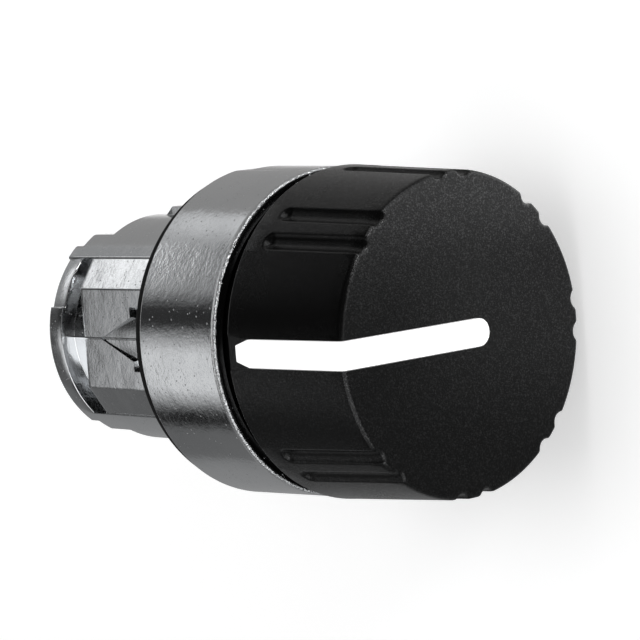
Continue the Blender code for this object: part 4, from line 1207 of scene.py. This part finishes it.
@dataclass
class Knob:
    """The grained black knob with its finger grooves and the pocket for the strip."""

    rear_radius: float = 14.85
    face_radius: float = 14.1
    shoulder: float = -13.0
    face: float = -26.85
    ceiling: float = -25.2
    face_fillet: float = 0.45
    rear_fillet: float = 0.25
    skirt_radius: float = 13.4
    skirt_bore: float = 12.2
    skirt_end: float = -7.0
    boss_radius: float = 6.6
    boss_bore: float = 5.3
    ring_groove: float = 5.85
    ring_front: float = -15.35
    ring_rear: float = -14.45
    groove_width: float = 1.6
    groove_depth: float = 0.45
    groove_setback: float = 2.0
    pair_half_angle: float = 5.8
    places: int = 8
    rib_thickness: float = 1.0
    ribs: int = 6
    crest: float = 0.11
    crest_reach: float = 0.6
    skirt_chamfer: float = 0.15

    @property
    def taper(self) -> float:
        """The side's slope, as the tangent of its angle."""
        return (self.rear_radius - self.face_radius) / (self.face - self.shoulder)

    @property
    def section(self) -> float:
        """The radius of a finger groove's round section."""
        return (self.groove_width**2 / 4 + self.groove_depth**2) / (2 * self.groove_depth)

    def centres(self) -> List[float]:
        """Works out where the grooves are, with none at the strip.

        Returns:
            The angles of their middles in degrees.
        """
        step = 360.0 / self.places
        return [
            place * step + side * self.pair_half_angle
            for place in range(1, self.places)
            for side in (-1, 1)
        ]

    def sunk(self, angle: float, radius: float, y: float) -> float:
        """Works out how far the finger grooves sink the side.

        Args:
            angle: The angle.
            radius: The side's radius there without a groove.
            y: The place along the axis.

        Returns:
            The depth.
        """
        nearest = min(self.centres(), key=lambda centre: abs(turned_by(angle - centre)))
        off = math.radians(turned_by(angle - nearest))
        aside = radius * math.sin(off) if abs(off) < 1 else radius
        start = self.shoulder - self.groove_setback - self.section
        behind = max(0.0, y - start)
        square = self.section**2 - aside**2 - behind**2
        reach = math.sqrt(square) if square > 0 else -math.sqrt(-square) / 2
        depth = reach - (self.section - self.groove_depth)
        return (depth + math.sqrt(depth**2 + self.crest**2)) / 2 if depth > -self.crest_reach else 0.0

    def columns(self) -> List[float]:
        """Works out the angles of its columns, close together at the grooves' edges.

        Returns:
            The angles in degrees.
        """
        marks = []
        for centre in self.centres():
            marks += [(centre, 3.2, 0.55), (centre - 3.2, 0.8, 0.17), (centre + 3.2, 0.8, 0.17)]
        return round_columns(2.4, marks)

    def rows(self) -> List[float]:
        """Works out the side's rows, close together where the grooves start.

        Returns:
            Their places along the axis.
        """
        start = self.shoulder - self.groove_setback
        low = self.face + self.face_fillet
        marks = [(start - 0.5, 0.75, 0.075), (low, 0.1, 0.1)]
        return packed(low, self.shoulder - self.rear_fillet, 1.6, marks)

    def outer(self) -> List[Point]:
        """Works out the outside's section, from the middle of the face to the rear shoulder.

        Returns:
            Its points.
        """
        corner = (self.face_radius - self.face_fillet, self.face + self.face_fillet)
        tail = (self.rear_radius - self.rear_fillet, self.shoulder - self.rear_fillet)
        face = [(radius, self.face) for radius in (0.0, 6.0, 12.0, 12.95, corner[0] - 0.07)]
        side = [(self.rear_radius + self.taper * (self.shoulder - y), y) for y in self.rows()[1:-1]]
        rolled = arc(corner, self.face_fillet, -90.0, 0.0, 7)
        return face + rolled + side + arc(tail, self.rear_fillet, 0.0, 90.0, 4)

    def grooved(self, angle: float, radius: float, y: float) -> float:
        """Says where a point of the turned knob goes.

        Args:
            angle: Its angle.
            radius: Its radius so far.
            y: Its y.

        Returns:
            Its new radius.
        """
        if radius < self.skirt_radius + 0.1 or y > self.shoulder - 0.5:
            return radius
        return radius - self.sunk(angle, radius, y)

    def inner(self) -> List[Point]:
        """Works out the hollow's section, from the shoulder round the skirt and boss to the axis.

        Returns:
            Its points.
        """
        chamfer = self.skirt_chamfer
        return [
            (self.skirt_radius, self.shoulder), (self.skirt_radius, self.skirt_end - chamfer),
            (self.skirt_radius - chamfer, self.skirt_end), (self.skirt_bore, self.skirt_end),
            (self.skirt_bore, self.ceiling), (self.boss_radius, self.ceiling),
            (self.boss_radius, self.shoulder - 0.5), (self.boss_bore, self.shoulder - 0.5),
            (self.boss_bore, self.ring_rear), (self.ring_groove, self.ring_rear),
            (self.ring_groove, self.ring_front), (self.boss_bore, self.ring_front),
            (self.boss_bore, self.ceiling), (0.0, self.ceiling),
        ]

    def build(self, strip: "MarkerStrip") -> bpy.types.Object:
        """Makes the knob.

        Args:
            strip: The strip that its pocket holds.

        Returns:
            The knob, turned, grooved and cut for the strip and its light.
        """
        shape = Shape.turned(self.outer() + self.inner(), self.columns(), closed=False)
        shape.drawn(self.grooved)
        half = self.rib_thickness / 2
        low = (self.boss_radius - 0.2, self.ceiling - 0.2, -half)
        high = (self.skirt_bore + 0.2, self.shoulder - 5.0, half)
        ribs = [
            Shape.block(low, high).moved(Matrix.Rotation(2 * math.pi * index / self.ribs, 4, "Y"))
            for index in range(self.ribs)
        ]
        shape.boolean(Cut.ADD, *ribs)
        shape.boolean(Cut.REMOVE, *strip.pocket(), *strip.light_ways(self))
        return shape.settled("knob_cap", 40.0)


@dataclass
class MarkerStrip:
    """The white L-shaped strip over the knob's side and face."""

    width: float = 2.4
    thickness: float = 1.2
    past_axis: float = 3.0
    rear: float = -14.1
    seat: float = 12.9
    gap: float = 0.06
    corner: float = 0.5
    end_length: float = 1.5
    relief_half_width: float = 1.65
    relief_length: float = 2.5
    relief_seat: float = 14.6
    slit: float = 1.4
    gate_half_width: float = 1.15
    gate_depth: float = 1.7
    face: float = -26.85
    shoulder: float = -13.0
    past_side: float = 16.0

    def limbs(self, grow: float) -> List[Shape]:
        """Makes its two limbs, which stand out past the knob.

        Args:
            grow: How much larger than the strip they are on each side.

        Returns:
            The face limb and the side limb.
        """
        half = self.width / 2 + grow
        end = arc((0.0, self.width / 2 - self.past_axis), half, 180.0, 360.0, 24)
        outline = [(half, self.past_side), (-half, self.past_side)] + end
        floor = self.face + self.thickness + grow
        face = Shape.prism(outline, self.face - 1.0, floor, Face.XZ)
        rear = self.rear + grow
        outline = [
            (half, self.face - 1.0), (-half, self.face - 1.0), (-half, rear - self.end_length),
            (-half + self.corner, rear), (half - self.corner, rear), (half, rear - self.end_length),
        ]
        side = Shape.prism(outline, self.seat - grow, self.past_side, Face.XY)
        return [face, side]

    def pocket(self) -> List[Shape]:
        """Makes what the knob loses to the strip and to the relief at its rear end.

        Returns:
            The strip's two limbs, grown by the gap, and the relief.
        """
        half = self.width / 2 + self.gap
        outline = [
            (half, self.shoulder - self.relief_length), (-half, self.shoulder - self.relief_length),
            (-self.relief_half_width, self.shoulder + 1.0),
            (self.relief_half_width, self.shoulder + 1.0),
        ]
        relief = Shape.prism(outline, self.relief_seat, self.past_side, Face.XY)
        return self.limbs(self.gap) + [relief]

    def light_ways(self, knob: Knob) -> List[Shape]:
        """Makes the slits behind the strip and the gate for the light guide's arm.

        Args:
            knob: The knob that they are cut in.

        Returns:
            The two slits and the gate.
        """
        half, gate, ceiling = self.slit / 2, self.gate_half_width, knob.ceiling
        floor = self.face + self.thickness + self.gap
        corners = (
            ((-half, floor - 0.06, half - self.past_axis), (half, ceiling + 0.05, knob.skirt_bore)),
            ((-half, ceiling - 0.05, knob.skirt_bore - 0.75), (half, ceiling + 9.0, self.seat + 0.06)),
            ((-gate, ceiling, 0.0), (gate, ceiling + self.gate_depth, knob.boss_radius + 1.0)),
        )
        return [Shape.block(low, high) for low, high in corners]

    def build(self, knob: Knob) -> bpy.types.Object:
        """Makes the strip.

        Args:
            knob: The knob, whose outside it lies flush with.

        Returns:
            The strip, flush with the knob's side and face.
        """
        face, side = self.limbs(0.0)
        columns = round_columns(3.0, [(0.0, 5.5, 0.5)])
        envelope = Shape.turned(knob.outer() + [(0.0, knob.shoulder)], columns, closed=False)
        shape = face.boolean(Cut.ADD, side).boolean(Cut.KEEP_COMMON, envelope)
        return shape.settled("marker_strip", 40.0)


@dataclass
class RearEnd:
    """What shows in the neck's rear end: guide plate, its ring, the two pushers and their springs."""

    bore: float = 7.7
    running: float = 0.15
    window: float = 3.2
    plate_front: float = 14.73
    plate_rear: float = 16.93
    ring_front: float = 16.98
    ring_rear: float = 17.58
    ring_outer: float = 7.95
    ring_width: float = 0.8
    mouth: float = 2.4
    offset: float = 5.9
    stem: float = 0.95
    stem_end: float = 18.9
    nose: float = 1.3
    nose_tip: float = 7.83
    nose_length: float = 1.9
    seat: float = 1.65
    seat_thickness: float = 0.6
    wire: float = 0.2
    coil: float = 1.4
    coil_length: float = 4.3
    turns: int = 5
    plate_chamfer: float = 0.2
    hole_chamfer: float = 0.25
    ring_edge: float = 0.06
    seat_edge: float = 0.08
    columns: int = 120
    hole_columns: int = 48
    stem_columns: int = 40

    def plate(self) -> bpy.types.Object:
        """Makes the guide plate.

        Returns:
            The plate, with its window and its two stem holes.
        """
        outer, chamfer = self.bore - self.running, self.plate_chamfer
        profile = [
            (outer, self.plate_front), (outer, self.plate_rear - chamfer),
            (outer - chamfer, self.plate_rear), (self.window + self.hole_chamfer, self.plate_rear),
            (self.window, self.plate_rear - self.hole_chamfer), (self.window, self.plate_front),
        ]
        radius, chamfer = self.stem + self.running, self.hole_chamfer
        drilled = [
            (0.0, self.plate_front - 1.0), (radius, self.plate_front - 1.0),
            (radius, self.plate_rear - chamfer), (radius + 2 * chamfer, self.plate_rear + chamfer),
            (0.0, self.plate_rear + chamfer),
        ]
        shape = Shape.turned(profile, even_columns(self.columns))
        for side in (-1, 1):
            hole = Shape.turned(drilled, even_columns(self.hole_columns), closed=False)
            shape.boolean(Cut.REMOVE, hole.beside(side * self.offset))
        return shape.settled("pusher_guide")

    def ring(self) -> bpy.types.Object:
        """Makes the sprung ring that keeps the plate in.

        Returns:
            The ring, with its mouth.
        """
        inner, edge = self.ring_outer - self.ring_width, self.ring_edge
        profile = [
            (self.ring_outer, self.ring_front), (self.ring_outer, self.ring_rear - edge),
            (self.ring_outer - edge, self.ring_rear), (inner + edge, self.ring_rear),
            (inner, self.ring_rear - edge), (inner, self.ring_front),
        ]
        half = self.mouth / 2
        mouth = Shape.block((-half, self.ring_front - 1.0, -9.0), (half, self.ring_rear + 1.0, -6.0))
        shape = Shape.turned(profile, even_columns(self.columns)).boolean(Cut.REMOVE, mouth)
        return shape.settled("plate_ring")

    def pusher(self, side: int, name: str) -> bpy.types.Object:
        """Makes a pusher.

        Args:
            side: -1 for the left one and 1 for the right one.
            name: Its name.

        Returns:
            The stem with its round nose and spring seat.
        """
        seat_front = self.nose_tip + self.nose_length
        seat_rear = seat_front + self.seat_thickness
        nose = arc((0.0, self.nose_tip + self.nose), self.nose, -90.0, 0.0, 10)
        edge = self.seat_edge
        profile = [(0.0, self.nose_tip)] + nose[1:] + [
            (self.nose, seat_front), (self.seat - edge, seat_front), (self.seat, seat_front + edge),
            (self.seat, seat_rear - edge), (self.seat - edge, seat_rear), (self.stem, seat_rear),
            (self.stem, self.stem_end - 0.22), (self.stem - 0.06, self.stem_end - 0.07),
            (self.stem - 0.22, self.stem_end), (0.0, self.stem_end),
        ]
        shape = Shape.turned(profile, even_columns(self.stem_columns), closed=False)
        return shape.beside(side * self.offset).settled(name)

    def spring(self, side: int, name: str) -> bpy.types.Object:
        """Makes a pusher's spring.

        Args:
            side: -1 for the left one and 1 for the right one.
            name: Its name.

        Returns:
            The coil, with its first and last turns closed up.
        """
        bm = bmesh.new()
        start = self.nose_tip + self.nose_length + self.seat_thickness + 0.05 + self.wire
        place = Matrix.Translation((self.coil, start, 0.0))
        bmesh.ops.create_circle(bm, cap_ends=True, segments=10, radius=self.wire, matrix=place)
        geom: List[Any] = list(bm.faces)
        steps = 32
        closed = 2 * self.wire + 0.05
        middle = (self.coil_length - 2 * self.wire - 2 * closed) / (self.turns - 2)
        for rise in [closed] + [middle] * (self.turns - 2) + [closed]:
            made = bmesh.ops.spin(
                bm, geom=geom, cent=(0.0, 0.0, 0.0), axis=(0.0, 1.0, 0.0),
                dvec=(0.0, rise / steps, 0.0), angle=2 * math.pi, steps=steps,
            )
            geom = made["geom_last"]
        bmesh.ops.remove_doubles(bm, verts=bm.verts, dist=MERGE)
        bmesh.ops.recalc_face_normals(bm, faces=bm.faces)
        return Shape(bm).beside(side * self.offset).settled(name)


# Studio


@dataclass(frozen=True)
class Card:
    """A stretch of the reflector tent, by its angles about the turning axis, its level and its tint."""

    start: float
    end: float
    level: float
    blue: float = 0.02


class Tent(Enum):
    """The tent's lengths, each named for the piece that mirrors it, with its two ends and its cards."""

    GROOVE = (
        (-900.0, -290.0),
        (Card(-180.0, -11.0, 2.4), Card(-5.0, 60.0, 0.0), Card(80.0, 180.0, 0.4)),
    )
    FACE = (
        (-290.0, -47.0),
        (
            Card(-180.0, -170.0, 0.4), Card(-140.0, -80.0, 0.3), Card(-44.0, -14.0, 2.2),
            Card(-4.0, 52.0, 0.0), Card(66.0, 144.0, 2.2), Card(158.0, 163.0, 0.75),
            Card(172.0, 180.0, 0.4),
        ),
    )
    FACE_EDGE = (
        (-47.0, -26.0),
        (
            Card(-180.0, -170.0, 0.78), Card(-140.0, 104.0, 0.34), Card(118.0, 144.0, 1.9),
            Card(158.0, 180.0, 0.85),
        ),
    )
    KNOB = (
        (-26.0, 296.0),
        (
            Card(-180.0, -100.0, 0.3), Card(-72.0, -62.0, 0.14), Card(-46.0, -16.0, 0.42),
            Card(-2.0, 62.0, 0.0), Card(84.0, 126.0, 0.36, -0.01), Card(150.0, 180.0, 1.6, -0.01),
        ),
    )
    BEZEL = (
        (296.0, 378.0),
        (
            Card(-180.0, -66.0, 0.18), Card(-60.0, -52.0, 0.0), Card(-34.0, -10.0, 0.98),
            Card(9.0, 20.0, 0.04), Card(34.0, 62.0, 0.37), Card(79.0, 88.0, 0.8),
            Card(98.0, 180.0, 0.34),
        ),
    )
    NECK = (
        (378.0, 432.0),
        (
            Card(-180.0, -24.0, 0.14), Card(-14.0, -5.0, 0.6), Card(5.0, 24.0, 0.03),
            Card(50.0, 65.0, 1.9), Card(72.0, 92.0, 0.34), Card(98.0, 180.0, 0.26),
        ),
    )
    RIM = (
        (432.0, 900.0),
        (
            Card(-180.0, -70.0, 0.2), Card(-45.0, 20.0, 0.09), Card(36.0, 62.0, 0.34),
            Card(80.0, 180.0, 0.4),
        ),
    )


@dataclass
class Studio:
    """Plain floor, soft lamps, reflector cards and the camera, in millimetres."""

    floor_level: float = -15.0
    floor_half: float = 6000.0
    floor_glow: float = 0.46
    surround_light: float = 0.4
    tent_radius: float = 320.0
    tent_foot: float = 0.3
    tent_gain: float = 2.5
    lens: float = 158.96
    camera_place: Tuple[float, float, float] = (25.143, -199.245, 166.403)
    camera_right: Tuple[float, float, float] = (-0.081, -0.6607, -0.7463)
    camera_back: Tuple[float, float, float] = (0.0951, -0.7504, 0.6541)

    def world(self) -> None:
        """Sets a surround that is white in view, with softer light from it on the object."""
        graph = Graph("studio", world=True)
        strength = self.surround_light + graph.in_view() * (1.0 - self.surround_light)
        bpy.context.scene.world = graph.finish(Color=grey(1.0), Strength=strength)

    def floor(self) -> None:
        """Lays the pale floor, which keeps the object's shadow."""
        bm = bmesh.new()
        bmesh.ops.create_grid(bm, x_segments=2, y_segments=2, size=self.floor_half * MM)
        plate = into_scene("floor", bm)
        plate.location.z = self.floor_level * MM
        graph = Graph("floor_paper")
        paper = graph.noise(1.5, 3.0)
        plate.data.materials.append(
            graph.finish(
                Base_Color=graph.blend(paper * 0.1, grey(0.86), grey(0.84)), Roughness=0.9,
                Specular_IOR_Level=0.0, Emission_Color=grey(1.0),
                Emission_Strength=graph.in_view() * self.floor_glow,
            )
        )

    def tent(self, part: Tent) -> None:
        """Hangs one length of the tent of reflector cards, which only polished faces see.

        Args:
            part: The length.
        """
        (start, end), cards = part.value
        low = self.floor_level + self.tent_foot
        foot = math.degrees(math.acos(low / self.tent_radius))
        arch = arc((0.0, 0.0), self.tent_radius, 90.0 - foot, 90.0 + foot, 48)
        outline = [(0.0, low)] + arch + [(0.0, low)]
        bm = bmesh.new()
        line = [bm.verts.new((x * MM, start * MM, z * MM)) for x, z in outline]
        edges = [bm.edges.new(pair) for pair in zip(line, line[1:])]
        raised = bmesh.ops.extrude_edge_only(bm, edges=edges)["geom"]
        ends = [item for item in raised if isinstance(item, bmesh.types.BMVert)]
        bmesh.ops.translate(bm, verts=ends, vec=(0.0, (end - start) * MM, 0.0))
        name = f"tent_{part.name.lower()}"
        reflector = into_scene(name, bm)
        graph = Graph(name)
        x, _, z = graph.axes()
        turn = graph.node("ShaderNodeTexGradient", {"gradient_type": "RADIAL"}, {0: graph.vector(z, x)})
        stops = []
        for card in cards:
            level = card.level / self.tent_gain
            colour = grey(level, card.blue * level)
            stops += [(0.5 + angle / 360.0, colour) for angle in (card.start, card.end)]
        along = Flow(graph, turn.outputs["Fac"])
        ramp = graph.node("ShaderNodeValToRGB", {"stops": stops}, {"Fac": along})
        reflector.data.materials.append(
            graph.finish(
                Base_Color=grey(0.0), Specular_IOR_Level=0.0,
                Emission_Color=Flow(graph, ramp.outputs["Color"]), Emission_Strength=self.tent_gain,
            )
        )
        reflector.visible_camera = reflector.visible_diffuse = reflector.visible_shadow = False

    def lamp(self, name: str, place: Sequence[float], size: float, power: float, mirrored: bool) -> None:
        """Hangs a square soft lamp that faces the object.

        Args:
            name: Its name.
            place: Its place in millimetres.
            size: Its side in millimetres.
            power: Its power in watts.
            mirrored: Whether polished faces show it.
        """
        data = bpy.data.lights.new(name, "AREA")
        data.shape, data.size, data.energy = "SQUARE", size * MM, power
        lamp = bpy.data.objects.new(name, data)
        lamp.location = Vector(place) * MM
        lamp.rotation_euler = Vector(place).to_track_quat("Z", "Y").to_euler()
        lamp.visible_glossy = mirrored
        bpy.context.scene.collection.objects.link(lamp)

    def camera(self) -> None:
        """Sets the camera as the photograph was taken, rolled on its side."""
        back = Vector(self.camera_back).normalized()
        up = back.cross(Vector(self.camera_right).normalized()).normalized()
        right = up.cross(back).normalized()
        data = bpy.data.cameras.new("photo_camera")
        data.sensor_width, data.lens = 36.0, self.lens
        data.clip_start, data.clip_end = 0.01, 20.0
        camera = bpy.data.objects.new("photo_camera", data)
        matrix = Matrix((right, up, back)).transposed().to_4x4()
        matrix.translation = Vector(self.camera_place) * MM
        camera.matrix_world = matrix
        bpy.context.scene.collection.objects.link(camera)
        bpy.context.scene.camera = camera

    def build(self) -> None:
        """Sets up everything round the object."""
        bpy.context.scene.view_settings.view_transform = "Standard"
        self.world()
        self.floor()
        for part in Tent:
            self.tent(part)
        self.lamp("lamp_overhead", (120.0, 60.0, 720.0), size=520.0, power=1.6, mirrored=False)
        self.lamp("lamp_front", (300.0, -420.0, 60.0), size=120.0, power=1.1, mirrored=True)
        self.camera()


# Frame nodes that keep their CAD shape


def dress_frame(nodes: Dict[str, bpy.types.Object]) -> None:
    """Gives each CAD node that stays in view its finish.

    Args:
        nodes: The frame's nodes by name.
    """
    moulded = GrainedPlastic(
        "grey_acetal", grey(0.30), grey(0.36),
        roughness=0.40, grain_size=0.3, grain_depth=0.006,
    ).material()
    steel = SpringSteel("blanked_spring_steel").material()
    rubber = Rubber("seal_rubber").material()
    finishes = {
        "flange_seal": rubber,
        "shaft_seal": rubber,
        "thrust_washer": Bronze("bearing_bronze").material(),
        "detent_spring_upper": steel,
        "detent_spring_lower": steel,
        "rotor_circlip": steel,
        "knob_snap_ring": steel,
        "rotor_shaft": moulded,
        "cam_disc": moulded,
        "light_guide": ClearGuide("clear_light_guide").material(),
    }
    for name, finish in finishes.items():
        for slot in nodes[name].material_slots:
            slot.material = finish


def main() -> None:
    """Builds the pieces in order, dresses them and sets up the studio."""
    logging.basicConfig(level=logging.INFO, format="%(message)s")
    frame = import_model()
    bright = Plating("bright_plating", rough_rim=-11.0).material()
    cast = Plating(
        "plating_over_casting", peel=0.014, grain=0.004, pits=0.008, streaks=0.002
    ).material()
    stand_for(Bezel().build(), "bezel", Body.HOUSING, bright)
    stand_for(Gasket().build(), "panel_gasket", Body.HOUSING, Rubber("gasket_rubber").material())
    stand_for(Neck().build(), "neck_body", Body.HOUSING, cast)
    knob, strip = Knob(), MarkerStrip()
    stand_for(knob.build(strip), "knob", Body.SELECTOR, GrainedPlastic("black_knob_plastic").material())
    stand_for(strip.build(knob), "lens_strip", Body.SELECTOR, Diffuser("white_diffuser").material())
    rear = RearEnd()
    guide = GrainedPlastic(
        "black_guide_plastic", grey(0.010), grey(0.025),
        roughness=0.45, grain_size=0.25, grain_depth=0.008,
    ).material()
    stem = GrainedPlastic(
        "grey_pusher_acetal", grey(0.32), grey(0.38),
        roughness=0.38, grain_size=0.3, grain_depth=0.005,
    ).material()
    wire = SpringSteel("drawn_spring_wire", lines=(1.0, 0.3, 1.0)).material()
    stand_for(rear.plate(), "guide_plate", Body.HOUSING, guide)
    stand_for(rear.ring(), "plate_retaining_ring", Body.HOUSING, SpringSteel("ring_steel").material())
    for side, word, body in ((-1, "left", Body.LEFT_PUSHER), (1, "right", Body.RIGHT_PUSHER)):
        stand_for(rear.pusher(side, f"pusher_stem_{word}"), f"pusher_{word}", body, stem)
        coil = rear.spring(side, f"pusher_coil_{word}")
        dress(coil, f"pusher_spring_{word}", wire)
        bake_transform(coil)
    dress_frame(frame["nodes"])
    Studio().build()


if __name__ == "__main__":
    main()
